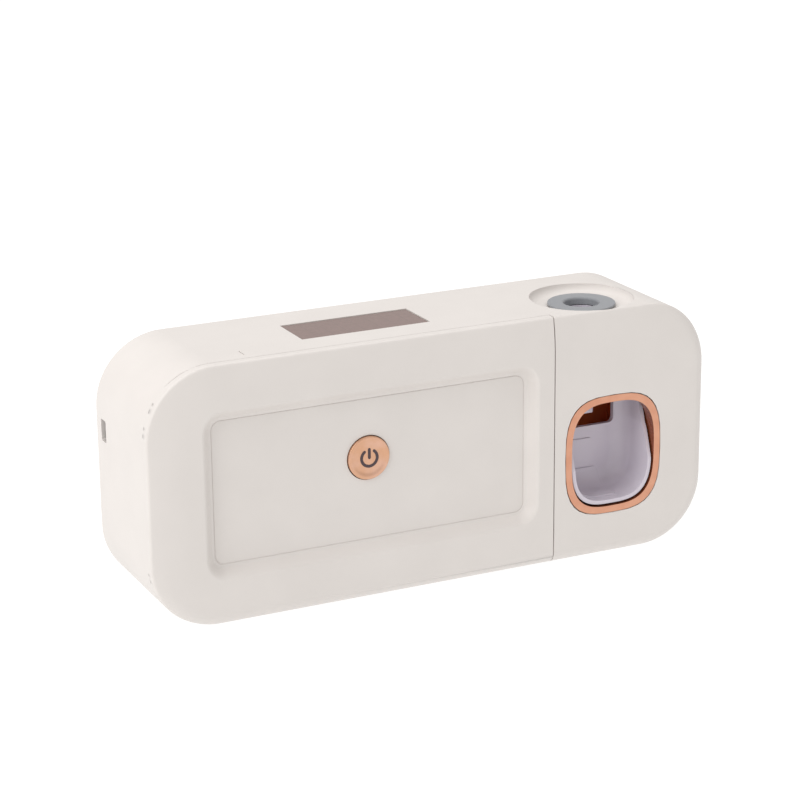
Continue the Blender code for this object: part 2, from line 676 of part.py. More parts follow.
def build_outer_shell():
    shell = body_block("outer_shell", 0, FRONT, BACK, FRONT_FILLET, cutter=False)
    cut(shell, door_opening())
    cut(shell, *shell_cavities())
    join(shell, dish_body())
    cut(shell, dish_cutter(), solar_pocket())
    collar_end = FRONT_WALL_REAR + WINDOW_COLLAR_DEPTH
    join(shell, loft("window_collar", [window_outline(RING_FACE + WINDOW_COLLAR, FRONT_WALL_REAR - 0.001),
                                       window_outline(RING_FACE + WINDOW_COLLAR, collar_end)]))
    tunnel = RING_TUNNEL_WALL + PART_GAP
    cut(shell, loft("window_hole", [window_outline(tunnel, FRONT - 0.01), window_outline(tunnel, collar_end + 0.01)]))
    face = RING_FACE + PART_GAP
    cut(shell, loft("window_seat", [window_outline(face, FRONT - 0.01),
                                    window_outline(face, FRONT + RING_FACE_DEPTH + PART_GAP)]))
    cut(shell, box("socket_slot",
                   (LEFT - 0.01, SOCKET_Y - SLOT_THICKNESS / 2, SOCKET_HEIGHT - SLOT_LENGTH / 2),
                   (LEFT + 0.006, SOCKET_Y + SLOT_THICKNESS / 2, SOCKET_HEIGHT + SLOT_LENGTH / 2),
                   round_axis=0, radius=SLOT_THICKNESS * 0.17))
    for number, x in enumerate(neck_places(), 1):
        cut(shell, brush_slot(f"shell_slot_{number}", x, HANDLE_SLOT_WIDTH, HANDLE_SLOT_END,
                              -0.01, SHELL_WALL + 0.002))
    hinge_lugs(shell)
    for number, (x, z) in enumerate(screw_places(), 1):
        join(shell, rod(f"screw_boss_{number}", (x, 0, z), 1, SCREW_BOSS_RADIUS,
                        LINER_BACK + 2 * PART_GAP, SCREW_BOSS_TOP, sides=14))
        cut(shell, rod(f"boss_bore_{number}", (x, 0, z), 1, SCREW_SHAFT_RADIUS + PART_GAP,
                       BACK - SCREW_SHAFT_LENGTH - SCREW_HEAD_HEIGHT - 2 * PART_GAP, BACK + 0.01, sides=14))
    for number, (x, z) in enumerate(well_post_places(), 1):
        join(shell, rod(f"well_post_{number}", (x, 0, z), 1, WELL_POST_RADIUS,
                        FRONT_WALL_REAR - 0.0005, WELL_FRONT - PART_GAP, sides=14))
        cut(shell, rod(f"well_post_bore_{number}", (x, 0, z), 1, WELL_SCREW_RADIUS + PART_GAP,
                       WELL_FRONT + WELL_WALL - WELL_SCREW_LENGTH, WELL_FRONT, sides=12))
    for side in (-1, 1):
        x = PUMP_X + side * PUMP_SCREW_OFFSET
        cut(shell, rod(f"pump_bore_{side}", (x, PUMP_Y, 0), 2, PUMP_SCREW_RADIUS + PART_GAP,
                       DISH_UNDERSIDE - 0.001, DISH_UNDERSIDE + PUMP_SCREW_LENGTH - CYLINDER_FLANGE, sides=12))
    return finish_part(shell, CREAM_ABS)


def build_back_cover():
    """A flat cover inside the rim, with screw pads, battery ribs, board posts and two keyholes."""
    cover = body_block("back_cover", SHELL_WALL + PART_GAP, COVER_INNER, BACK, cutter=False)
    for number, (x, z) in enumerate(screw_places(), 1):
        join(cover, rod(f"cover_pad_{number}", (x, 0, z), 1, SCREW_PAD_RADIUS,
                        SCREW_BOSS_TOP + PART_GAP, COVER_INNER + 0.001, sides=14))
        cut(cover, rod(f"cover_hole_{number}", (x, 0, z), 1, SCREW_SHAFT_RADIUS + PART_GAP,
                       SCREW_BOSS_TOP - 0.001, BACK + 0.01, sides=14))
        cut(cover, rod(f"cover_sink_{number}", (x, 0, z), 1, SCREW_HEAD_RADIUS + PART_GAP,
                       BACK - SCREW_HEAD_DEPTH - SCREW_HEAD_HEIGHT - PART_GAP, BACK + 0.01, sides=14))
    battery_rear = LINER_BACK + 2 * PART_GAP + BATTERY_THICKNESS
    for share in (0.3, 0.7):
        x = DOOR_RIGHT - BATTERY_FROM_SEAM + BATTERY_WIDTH * share
        join(cover, box(f"battery_rib_{share}", (x - 0.0008, battery_rear + PART_GAP, BATTERY_BOTTOM),
                        (x + 0.0008, COVER_INNER + 0.001, BATTERY_BOTTOM + BATTERY_HEIGHT)))
    board_rear = BOARD_FRONT + BOARD_THICKNESS
    for number, (across, up) in enumerate(((0.3, -0.35), (0.75, 0.35)), 1):
        place = (LEFT + SHELL_WALL + BOARD_WIDTH * across, 0, SOCKET_HEIGHT + BOARD_HEIGHT * up)
        join(cover, rod(f"board_post_{number}", place, 1, 0.0020, board_rear + PART_GAP,
                        COVER_INNER + 0.001, sides=14))
    for side in (-1, 1):
        cut(cover, *keyhole(f"keyhole_{side}", side * KEYHOLE_OFFSET))
    return finish_part(cover, CREAM_ABS)


def keyhole(name, x):
    """A round entry with a narrow slot above it, for the head of a wall screw."""
    low, high = COVER_INNER - 0.002, BACK + 0.01
    entry = rod(name + "_entry", (x, 0, KEYHOLE_HEIGHT), 1, KEYHOLE_HEAD_RADIUS, low, high, sides=14)
    slot = box(name + "_slot", (x - KEYHOLE_NECK_RADIUS, low - 0.001, KEYHOLE_HEIGHT - KEYHOLE_NECK_RADIUS),
               (x + KEYHOLE_NECK_RADIUS, high + 0.001, KEYHOLE_HEIGHT + KEYHOLE_RISE),
               round_axis=1, radius=KEYHOLE_NECK_RADIUS * 0.95)
    return [entry, slot]


def screw(name, place, axis, head_radius, head_height, shaft_radius, shaft_length):
    """A pan-head screw. Its head starts at place and its shaft runs the other way along the axis."""
    profile = [(0.0, head_height), (head_radius * 0.7, head_height), (head_radius, head_height * 0.55),
               (head_radius, 0.0), (shaft_radius, 0.0), (shaft_radius, -shaft_length), (0.0, -shaft_length)]
    return finish_part(turned(name, profile, place, axis, cutter=False, steps=10), STEEL)


def build_back_screws():
    for number, (x, z) in enumerate(screw_places(), 1):
        screw(f"back_screw_{number}", (x, BACK - SCREW_HEAD_DEPTH - SCREW_HEAD_HEIGHT, z), 1,
              SCREW_HEAD_RADIUS, SCREW_HEAD_HEIGHT, SCREW_SHAFT_RADIUS,
              SCREW_SHAFT_LENGTH - SCREW_HEAD_DEPTH)


# Door


def recess_outline(inset, y):
    left = LEFT + RECESS_LEFT + inset
    right = DOOR_RIGHT - RECESS_RIGHT - inset
    radius = max(RECESS_CORNER - inset * 0.6, 0.001)
    return rounded_outline(left, right, RECESS_BOTTOM + inset, RECESS_BOTTOM + RECESS_HEIGHT - inset,
                           radius, y)


def recess_cutter():
    """The pressed panel: an S-shaped slope all round down to a flat floor."""
    outlines = [recess_outline(0, FRONT - 0.002)]
    steps = 6
    for k in range(steps + 1):
        share = k / steps
        ease = 0.25 * share + 0.75 * share * share * (3 - 2 * share)
        outlines.append(recess_outline(RECESS_SLOPE * share, FRONT - 0.0001 + (RECESS_DEPTH + 0.0001) * ease))
    return loft("recess_cutter", outlines)


def recess_back():
    """The material behind the pressed panel."""
    return loft("recess_back", [recess_outline(-RECESS_WALL * 0.9, FRONT + DOOR_WALL / 2),
                                recess_outline(RECESS_SLOPE - RECESS_WALL, RECESS_REAR)])


def hinge_arm(name, x):
    """A gooseneck from the hinge's eye, below the shell's lip, to the back of the door."""
    plate = FRONT + DOOR_WALL / 2 - HINGE_Y
    recess_face = RECESS_REAR - HINGE_Y - 0.0005
    turns = [math.radians(225 - 284 * i / 11) for i in range(12)]
    eye = [(HINGE_BOSS_RADIUS * math.cos(turn), HINGE_BOSS_RADIUS * math.sin(turn)) for turn in turns]
    arm_outline = at_hinge([(plate, -HINGE_SETBACK * 1.55)] + eye +
                           [(recess_face + 0.0004, -HINGE_SETBACK * 2.8), (plate, -HINGE_SETBACK * 2.8)])
    half = HINGE_ARM_THICKNESS / 2
    return prism(name, arm_outline, 0, x - half, x + half)


def magnet_places():
    return [LEFT + MAGNET_FROM_LEFT, DOOR_RIGHT - MAGNET_FROM_SEAM]


def build_door_shell():
    door = body_block("door_shell", 0, FRONT, DOOR_REAR, FRONT_FILLET, cutter=False)
    keep(door, box("door_limit", (LEFT - 0.01, FRONT - 0.01, -0.01), (DOOR_RIGHT, BACK, TOP + 0.01)))
    cavity = body_block("door_cavity", DOOR_WALL, FRONT + DOOR_WALL, BACK, FRONT_FILLET - DOOR_WALL)
    keep(cavity, box("door_cavity_limit", (LEFT - 0.01, FRONT - 0.01, -0.01),
                     (DOOR_RIGHT - DOOR_WALL, BACK + 0.01, TOP + 0.01)))
    cut(door, cavity)
    cut(door, hinge_sweep("door_sweep", 0.0))
    join(door, recess_back())
    for number, x in enumerate(hinge_places(), 1):
        join(door, hinge_arm(f"hinge_arm_{number}", x))
    cut(door, recess_cutter())
    for number, x in enumerate(hinge_places(), 1):
        cut(door, rod(f"eye_bore_{number}", (0, HINGE_Y, HINGE_Z), 0, HINGE_PIN_RADIUS + PART_GAP,
                      x - HINGE_ARM_THICKNESS, x + HINGE_ARM_THICKNESS, sides=14))
    for number, x in enumerate(magnet_places(), 1):
        inner = MAGNET_RADIUS + PART_GAP
        join(door, rod(f"magnet_cup_{number}", (x, 0, MAGNET_HEIGHT), 1, inner + MAGNET_WALL,
                       FRONT + DOOR_WALL / 2, DOOR_REAR - PART_GAP, sides=14))
        cut(door, rod(f"magnet_room_{number}", (x, 0, MAGNET_HEIGHT), 1, inner,
                      FRONT + DOOR_WALL + PART_GAP, BACK, sides=14))
    cut(door, rod("button_hole", (BUTTON_X, 0, BUTTON_HEIGHT), 1, BUTTON_RADIUS + PART_GAP,
                  FRONT - 0.01, BACK, sides=40))
    return finish_part(door, CREAM_ABS)


def build_hinge_pins():
    for side, x in zip(("left", "right"), hinge_places()):
        half = HINGE_PIN_LENGTH / 2
        pin = rod(f"hinge_pin_{side}", (0, HINGE_Y, HINGE_Z), 0, HINGE_PIN_RADIUS, x - half, x + half,
                  cutter=False, sides=14)
        finish_part(pin, STEEL)


def build_magnets():
    front = FRONT + DOOR_WALL + 2 * PART_GAP
    catch = RIM_FRONT + 2 * PART_GAP
    for side, x in zip(("left", "right"), magnet_places()):
        finish_part(rod(f"door_magnet_{side}", (x, 0, MAGNET_HEIGHT), 1, MAGNET_RADIUS,
                        front, front + MAGNET_THICKNESS, cutter=False, sides=14), STEEL)
        finish_part(rod(f"catch_magnet_{side}", (x, 0, MAGNET_HEIGHT), 1, MAGNET_RADIUS,
                        catch, catch + MAGNET_THICKNESS, cutter=False, sides=14), STEEL)


def build_power_button():
    """A turned cap with a shallow dished face, a flange behind the panel and a short stem."""
    face = RECESS_FLOOR - BUTTON_PROUD
    flange_front = RECESS_REAR + PART_GAP
    radius = BUTTON_RADIUS
    profile = [(0.0, STEM_REAR), (radius * 0.25, STEM_REAR), (radius * 0.25, BUTTON_REAR),
               (radius + BUTTON_FLANGE_WIDTH, BUTTON_REAR), (radius + BUTTON_FLANGE_WIDTH, flange_front),
               (radius, flange_front), (radius, face + 0.0004), (radius - 0.0004, face),
               (radius - 0.0009, face), (radius * 0.7, face + 0.0003), (0.0, face + 0.0004)]
    button = turned("power_button", profile, (BUTTON_X, 0, BUTTON_HEIGHT), 1, cutter=False, steps=32)
    return finish_part(button, ROSE_GOLD)


def build_switch():
    """The tact switch, its small board and the cup that covers them on the door's inside."""
    half_width, half_height = SWITCH_HOUSING_WIDTH / 2, SWITCH_HOUSING_HEIGHT / 2
    wall = SWITCH_HOUSING_WALL
    board_rear = SWITCH_BOARD_FRONT + SWITCH_BOARD_THICKNESS
    rear = board_rear + PART_GAP + wall
    housing = box("switch_housing", (BUTTON_X - half_width, RECESS_REAR + PART_GAP, BUTTON_HEIGHT - half_height),
                  (BUTTON_X + half_width, rear, BUTTON_HEIGHT + half_height), cutter=False,
                  round_axis=1, radius=0.003)
    cut(housing, box("switch_room", (BUTTON_X - half_width + wall, FRONT, BUTTON_HEIGHT - half_height + wall),
                     (BUTTON_X + half_width - wall, rear - wall, BUTTON_HEIGHT + half_height - wall),
                     round_axis=1, radius=0.003 - wall))
    finish_part(housing, CREAM_ABS)
    inner_width, inner_height = half_width - wall - 2 * PART_GAP, half_height - wall - 2 * PART_GAP
    board = box("switch_board", (BUTTON_X - inner_width, SWITCH_BOARD_FRONT, BUTTON_HEIGHT - inner_height),
                (BUTTON_X + inner_width, board_rear, BUTTON_HEIGHT + inner_height),
                cutter=False, round_axis=1, radius=0.0015)
    finish_part(board, BOARD_GREEN)
    half = SWITCH_BODY / 2
    switch = box("power_switch", (BUTTON_X - half, SWITCH_FRONT + PART_GAP, BUTTON_HEIGHT - half),
                 (BUTTON_X + half, SWITCH_REAR, BUTTON_HEIGHT + half), cutter=False)
    join(switch, rod("switch_plunger", (BUTTON_X, 0, BUTTON_HEIGHT), 1, SWITCH_BODY * 0.28,
                     SWITCH_FRONT, SWITCH_REAR - 0.0002, sides=14))
    finish_part(switch, BLACK_PLASTIC)


# Brush chamber


def lamp_places():
    centre = DOOR_MIDDLE + LAMP_RIGHT_OF_MIDDLE
    return [centre + (i - (LAMP_COUNT - 1) / 2) * LAMP_PITCH for i in range(LAMP_COUNT)]


def build_chamber_liner():
    """A glossy pan that backs the brushes, with handle slots below and lamp windows behind."""
    inset = SHELL_WALL + PART_GAP
    liner = body_block("chamber_liner", inset, LINER_FRONT, LINER_BACK, cutter=False)
    keep(liner, box("liner_limit", (LEFT - 0.01, FRONT, -0.01), (SEAM_RIGHT - PART_GAP, BACK, TOP + 0.01)))
    room = body_block("liner_room", inset + LINER_WALL, FRONT, LINER_REAR_INNER)
    keep(room, box("liner_room_limit", (LEFT - 0.01, FRONT - 0.01, -0.01),
                   (SEAM_RIGHT - PART_GAP - LINER_WALL, BACK, TOP + 0.01)))
    cut(liner, room)
    for number, x in enumerate(neck_places(), 1):
        cut(liner, brush_slot(f"liner_slot_{number}", x, HANDLE_SLOT_WIDTH, HANDLE_SLOT_END,
                              -0.01, LINER_FLOOR + 0.002))
    half = LAMP_SIZE / 2 + 2 * PART_GAP
    for number, x in enumerate(lamp_places(), 1):
        cut(liner, box(f"lamp_window_{number}", (x - half, LINER_REAR_INNER - 0.002, LAMP_HEIGHT - half),
                       (x + half, LINER_BACK + 0.002, LAMP_HEIGHT + half)))
    return finish_part(liner, LINER_GREY)


def build_brush_rack():
    """A comb that the brushes hang in by the neck, with a post for each door magnet's partner."""
    front = RIM_FRONT + PART_GAP
    left, right = rack_ends()
    rack = box("brush_rack", (left, front, RACK_BOTTOM), (right, LINER_REAR_INNER - PART_GAP, RACK_TOP),
               cutter=False, round_axis=2, radius=0.0008)
    inner = MAGNET_RADIUS + PART_GAP
    post_top = MAGNET_HEIGHT + inner + MAGNET_WALL
    depth = front + MAGNET_THICKNESS + 2 * PART_GAP + MAGNET_WALL
    half = inner + MAGNET_WALL
    for number, x in enumerate(magnet_places(), 1):
        join(rack, box(f"magnet_post_{number}", (x - half, front + 0.0001, RACK_BOTTOM + 0.0002),
                       (x + half, depth, post_top), round_axis=1, radius=0.0015))
        cut(rack, rod(f"post_room_{number}", (x, 0, MAGNET_HEIGHT), 1, inner, FRONT,
                      depth - MAGNET_WALL, sides=14))
    for number, x in enumerate(neck_places(), 1):
        cut(rack, brush_slot(f"neck_slot_{number}", x, NECK_SLOT_WIDTH, NECK_SLOT_END,
                             RACK_BOTTOM - 0.002, RACK_TOP + 0.002))
    return finish_part(rack, CREAM_ABS)


def build_lamps():
    board_front = LINER_BACK + 2 * PART_GAP
    centre = DOOR_MIDDLE + LAMP_RIGHT_OF_MIDDLE
    board = box("uv_board", (centre - LAMP_BOARD_WIDTH / 2, board_front, LAMP_HEIGHT - LAMP_BOARD_HEIGHT / 2),
                (centre + LAMP_BOARD_WIDTH / 2, board_front + LAMP_BOARD_THICKNESS,
                 LAMP_HEIGHT + LAMP_BOARD_HEIGHT / 2), cutter=False, round_axis=1, radius=0.001)
    finish_part(board, BOARD_GREEN)
    rear = board_front - PART_GAP
    for number, x in enumerate(lamp_places(), 1):
        half = LAMP_SIZE / 2
        lamp = box(f"uv_led_{number}", (x - half, rear - LAMP_THICKNESS, LAMP_HEIGHT - half),
                   (x + half, rear, LAMP_HEIGHT + half), cutter=False, round_axis=1, radius=0.0004, steps=2)
        finish_part(lamp, LAMP_CERAMIC)
    window_rear = rear - LAMP_THICKNESS - PART_GAP
    window_rear = min(window_rear, LINER_REAR_INNER - PART_GAP)
    window = box("uv_window", (centre - LAMP_COVER_WIDTH / 2, window_rear - LAMP_COVER_THICKNESS,
                               LAMP_HEIGHT - LAMP_COVER_HEIGHT / 2),
                 (centre + LAMP_COVER_WIDTH / 2, window_rear, LAMP_HEIGHT + LAMP_COVER_HEIGHT / 2),
                 cutter=False, round_axis=1, radius=0.0015)
    finish_part(window, CLEAR)


def build_electronics():
    left = LEFT + SHELL_WALL
    board = box("main_board", (left + 4 * PART_GAP, BOARD_FRONT, SOCKET_HEIGHT - BOARD_HEIGHT / 2),
                (left + BOARD_WIDTH, BOARD_FRONT + BOARD_THICKNESS, SOCKET_HEIGHT + BOARD_HEIGHT / 2),
                cutter=False, round_axis=1, radius=0.0015)
    finish_part(board, BOARD_GREEN)
    half_thick, half_long = SOCKET_THICKNESS / 2, SOCKET_LENGTH / 2
    mouth = left + PART_GAP
    socket = box("usb_socket", (mouth, SOCKET_Y - half_thick, SOCKET_HEIGHT - half_long),
                 (mouth + SOCKET_DEPTH, SOCKET_Y + half_thick, SOCKET_HEIGHT + half_long),
                 cutter=False, round_axis=0, radius=SOCKET_THICKNESS * 0.3)
    cut(socket, box("socket_room",
                    (mouth - 0.001, SOCKET_Y - half_thick + SOCKET_WALL, SOCKET_HEIGHT - half_long + SOCKET_WALL),
                    (mouth + SOCKET_DEPTH - 0.001, SOCKET_Y + half_thick - SOCKET_WALL,
                     SOCKET_HEIGHT + half_long - SOCKET_WALL),
                    round_axis=0, radius=SOCKET_THICKNESS * 0.2))
    tongue = SOCKET_THICKNESS * 0.13
    join(socket, box("socket_tongue", (mouth + 0.0008, SOCKET_Y - tongue, SOCKET_HEIGHT - half_long * 0.6),
                     (mouth + SOCKET_DEPTH - 0.0005, SOCKET_Y + tongue, SOCKET_HEIGHT + half_long * 0.6)))
    finish_part(socket, STEEL)
    front = LINER_BACK + 2 * PART_GAP
    left = DOOR_RIGHT - BATTERY_FROM_SEAM
    battery = box("battery", (left, front, BATTERY_BOTTOM),
                  (left + BATTERY_WIDTH, front + BATTERY_THICKNESS,
                   BATTERY_BOTTOM + BATTERY_HEIGHT), cutter=False, round_axis=0, radius=0.002)
    finish_part(battery, BATTERY_SILVER)
    top = TOP - SOLAR_RECESS
    solar = box("solar_panel", (-SOLAR_LEFT_OF_MIDDLE + PART_GAP / 2, FRONT + SOLAR_FRONT + PART_GAP / 2,
                                top - SOLAR_THICKNESS),
                (-SOLAR_LEFT_OF_MIDDLE + SOLAR_WIDTH - PART_GAP / 2,
                 FRONT + SOLAR_FRONT + SOLAR_DEPTH - PART_GAP / 2, top), cutter=False)
    finish_part(solar, SOLAR_BROWN)


# Toothpaste dispenser


def build_window_ring():
    """The plated frame: a rounded face, and a tunnel that runs back around the lever."""
    face = RING_FACE
    outlines = [
        window_outline(0.0, RING_REAR), window_outline(0.0, FRONT + 0.0008),
        window_outline(0.0003, FRONT + 0.0002), window_outline(0.0008, FRONT),
        window_outline(face - 0.0008, FRONT), window_outline(face - 0.0002, FRONT + 0.0003),
        window_outline(face, FRONT + RING_FACE_DEPTH),
        window_outline(RING_TUNNEL_WALL, FRONT + RING_FACE_DEPTH), window_outline(RING_TUNNEL_WALL, RING_REAR)]
    return finish_part(looped_loft("window_ring", outlines), ROSE_GOLD)


def build_dispenser_well():
    """The lining behind the window: open to the front and the top, with ears for the lever's pin."""
    half = WINDOW_HALF_WIDTH + WELL_SIDE_GAP
    low_x, high_x = WINDOW_X - half, WINDOW_X + half
    floor, top = WELL_FLOOR, WELL_TOP
    well = box("dispenser_well", (low_x - WELL_WALL, WELL_FRONT, floor - WELL_WALL),
               (high_x + WELL_WALL, WELL_BACK + WELL_WALL, top), cutter=False)
    cut(well, box("well_room", (low_x, WELL_FRONT + WELL_WALL, floor), (high_x, WELL_BACK, top + 0.01)))
    cut(well, loft("well_window", [window_outline(PART_GAP, FRONT), window_outline(PART_GAP, WELL_FRONT + WELL_WALL + 0.001)]))
    width = LEVER_BOSS_RADIUS
    ear = [(LEVER_Y - width, LEVER_Z), (LEVER_Y - width * 0.9, LEVER_Z + width * 0.75),
           (LEVER_Y - width * 0.4, LEVER_Z + width), (LEVER_Y + width * 0.4, LEVER_Z + width),
           (LEVER_Y + width, LEVER_Z + width * 0.7), (LEVER_Y + 2.2 * width, top - 0.001),
           (LEVER_Y + 2.2 * width, top - 0.004), (WELL_FRONT + 0.0005, top - 0.004),
           (WELL_FRONT + 0.0005, top + 0.0012), (LEVER_Y - width, top + 0.0012)]
    for number, start in enumerate((low_x - WELL_WALL, high_x), 1):
        join(well, prism(f"pin_ear_{number}", ear, 0, start + 0.00005, start + WELL_WALL - 0.00005))
    cut(well, rod("ear_bore", (0, LEVER_Y, LEVER_Z), 0, LEVER_PIN_RADIUS + PART_GAP,
                  low_x - 2 * WELL_WALL, high_x + 2 * WELL_WALL, sides=14))
    for number, (x, z) in enumerate(well_post_places(), 1):
        side = x > WINDOW_X
        reach = x - high_x - WELL_WALL / 2 if side else floor - WELL_WALL / 2 - z
        turns = [math.radians(-90 + 180 * i / 7) for i in range(8)]
        tab = [(WELL_TAB_RADIUS * math.cos(turn), WELL_TAB_RADIUS * math.sin(turn)) for turn in turns]
        tab += [(-reach, WELL_TAB_RADIUS), (-reach, -WELL_TAB_RADIUS)]
        tab = [(x + a, z + b) if side else (x + b, z - a) for a, b in tab]
        join(well, prism(f"well_tab_{number}", tab, 1, WELL_FRONT + 0.00005, WELL_FRONT + WELL_WALL - 0.00005))
        cut(well, rod(f"well_hole_{number}", (x, 0, z), 1, WELL_SCREW_RADIUS + PART_GAP,
                      FRONT, WELL_BACK, sides=12))
    return finish_part(well, DARK_COPPER)


def build_well_screws():
    for number, (x, z) in enumerate(well_post_places(), 1):
        screw(f"well_screw_{number}", (x, WELL_FRONT + WELL_WALL + PART_GAP, z), 1, WELL_SCREW_HEAD_RADIUS,
              WELL_SCREW_HEAD_HEIGHT, WELL_SCREW_RADIUS, WELL_SCREW_LENGTH - PART_GAP)


def lever_section(inset, y):
    return squircle(LEVER_HALF_WIDTH - inset, LEVER_HALF_HEIGHT - inset, y, LEVER_CENTRE_Z)


def lever_arm_outline():
    """The side arm from the scoop up to the pin and back to the piston's lug."""
    radius = LEVER_BOSS_RADIUS
    front = WELL_FRONT + WELL_WALL + 0.0006
    top = LEVER_Z + radius
    shoulder = WELL_TOP + 0.0008
    rear = PUMP_Y + LUG_RADIUS + LEVER_SLOT_PLAY + 0.0020
    floor_rear = LEVER_FLOOR + LEVER_WALL
    return [(front, LEVER_CENTRE_Z + 0.005), (front, shoulder), (LEVER_Y - radius * 0.4, shoulder),
            (LEVER_Y - radius * 0.9, LEVER_Z - radius * 0.45), (LEVER_Y - radius, LEVER_Z),
            (LEVER_Y - radius * 0.9, LEVER_Z + radius * 0.45), (LEVER_Y - radius * 0.4, top),
            (rear, top), (rear, LEVER_Z - radius), (floor_rear, LEVER_CENTRE_Z + 0.012),
            (floor_rear - 0.0004, LEVER_CENTRE_Z + 0.005)]


def build_pusher_lever():
    """A scoop that fills the window, open at the top for the nozzle, on two side arms."""
    rim, floor, wall = LEVER_RIM, LEVER_FLOOR, LEVER_WALL
    rear = floor + wall * 0.9
    outer = [lever_section(0.0008, rim), lever_section(0, rim + 0.0008), lever_section(0, rear - 0.0035),
             lever_section(0.0008, rear - 0.0012), lever_section(0.0028, rear)]
    lever = loft("pusher_lever", outer, cutter=False)
    inner = [lever_section(wall - 0.0009, rim - 0.001), lever_section(wall - 0.0008, rim),
             lever_section(wall, rim + 0.0010), lever_section(wall + 0.0006, floor - 0.0060),
             lever_section(wall + 0.0017, floor - 0.0020), lever_section(wall + 0.0040, floor)]
    cut(lever, loft("lever_room", inner))
    pads = ((0.26, -0.0100, 0.0018, LEVER_PAD_HEIGHT), (0.39, -0.0152, -0.0110, 2 * LEVER_PAD_HEIGHT))
    for number, (share, low_z, high_z, height) in enumerate(pads, 1):
        half = LEVER_HALF_WIDTH * share
        join(lever, box(f"lever_pad_{number}", (PUMP_X - half, floor - height, LEVER_CENTRE_Z + low_z),
                        (PUMP_X + half, floor + 0.0005, LEVER_CENTRE_Z + high_z),
                        round_axis=1, radius=0.0012))
    arm = lever_arm_outline()
    inner_edge = LEVER_HALF_WIDTH - wall
    for number, side in enumerate((-1, 1), 1):
        ends = sorted((WINDOW_X + side * inner_edge, WINDOW_X + side * (LEVER_HALF_WIDTH - 0.00005)))
        join(lever, prism(f"lever_arm_{number}", arm, 0, ends[0], ends[1]))
    cut_low = LEVER_CENTRE_Z + LEVER_CUT_BOTTOM
    cut(lever, box("nozzle_cut", (PUMP_X - LEVER_CUT_HALF_WIDTH, FRONT - 0.01, cut_low),
                   (PUMP_X + LEVER_CUT_HALF_WIDTH, BACK, LEVER_Z - LEVER_BOSS_RADIUS - 0.002),
                   round_axis=1, radius=0.0015))
    cut(lever, rod("lever_bore", (0, LEVER_Y, LEVER_Z), 0, LEVER_PIN_RADIUS + PART_GAP,
                   WINDOW_X - LEVER_HALF_WIDTH * 2, WINDOW_X + LEVER_HALF_WIDTH * 2, sides=14))
    slot = LUG_RADIUS + LEVER_SLOT_PLAY
    cut(lever, box("lug_slot", (WINDOW_X - LEVER_HALF_WIDTH * 2, PUMP_Y - slot - 0.0006, LEVER_Z - slot),
                   (WINDOW_X + LEVER_HALF_WIDTH * 2, PUMP_Y + slot + 0.0006, LEVER_Z + slot), round_axis=0, radius=slot * 0.9))
    return finish_part(lever, LILAC_WHITE)


def build_lever_pin():
    half = WINDOW_HALF_WIDTH + WELL_SIDE_GAP + WELL_WALL + PART_GAP
    return finish_part(rod("lever_pin", (0, LEVER_Y, LEVER_Z), 0, LEVER_PIN_RADIUS, WINDOW_X - half,
                           WINDOW_X + half, cutter=False, sides=14), STEEL)


def build_nozzle_seal():
    """The silicone ring in the dish, with a coned bore for the neck of a toothpaste tube."""
    flange_bottom = DISH_BOTTOM + PART_GAP
    flange_top = flange_bottom + SEAL_THICKNESS
    profile = [(SEAL_BORE_RADIUS + SEAL_CONE, flange_top), (SEAL_RADIUS - 0.0004, flange_top),
               (SEAL_RADIUS, flange_top - 0.0003), (SEAL_RADIUS, flange_bottom),
               (SEAL_NECK_RADIUS, flange_bottom), (SEAL_NECK_RADIUS, DISH_UNDERSIDE),
               (SEAL_BORE_RADIUS, DISH_UNDERSIDE), (SEAL_BORE_RADIUS, flange_top - SEAL_CONE)]
    seal = turned("nozzle_seal", ring_profile(profile), (PUMP_X, PUMP_Y, 0), cutter=False, steps=28)
    return finish_part(seal, GREY_SILICONE)


def build_pump_cylinder():
    """The pump's fixed barrel: a mouth for the tube above, the piston's bore below, two screw tabs."""
    mouth = SEAL_BORE_RADIUS
    bore = PISTON_RADIUS + PART_GAP
    mouth_outer = mouth + CYLINDER_MOUTH_WALL
    flange_bottom = CYLINDER_TOP - CYLINDER_FLANGE
    step = MOUTH_BOTTOM - CYLINDER_WALL * 0.8
    profile = [(mouth, CYLINDER_TOP), (CYLINDER_FLANGE_RADIUS, CYLINDER_TOP),
               (CYLINDER_FLANGE_RADIUS, flange_bottom), (mouth_outer, flange_bottom), (mouth_outer, step),
               (bore + CYLINDER_WALL, step - 0.001), (bore + CYLINDER_WALL, CYLINDER_BOTTOM),
               (bore, CYLINDER_BOTTOM), (bore, MOUTH_BOTTOM), (mouth, MOUTH_BOTTOM)]
    barrel = turned("pump_cylinder", ring_profile(profile), (PUMP_X, PUMP_Y, 0), cutter=False)
    for side in (-1, 1):
        x = PUMP_X + side * PUMP_SCREW_OFFSET
        ends = sorted((x, PUMP_X + side * (mouth + 0.001)))
        join(barrel, rod(f"pump_tab_{side}", (x, PUMP_Y, 0), 2, PUMP_TAB_RADIUS, flange_bottom + 0.0001,
                         CYLINDER_TOP, sides=14))
        join(barrel, box(f"pump_web_{side}", (ends[0], PUMP_Y - PUMP_TAB_RADIUS, flange_bottom + 0.0001),
                         (ends[1], PUMP_Y + PUMP_TAB_RADIUS, CYLINDER_TOP)))
        cut(barrel, rod(f"pump_hole_{side}", (x, PUMP_Y, 0), 2, PUMP_SCREW_RADIUS + PART_GAP,
                        flange_bottom - 0.001, CYLINDER_TOP + 0.001, sides=12))
    return finish_part(barrel, BLACK_PLASTIC)


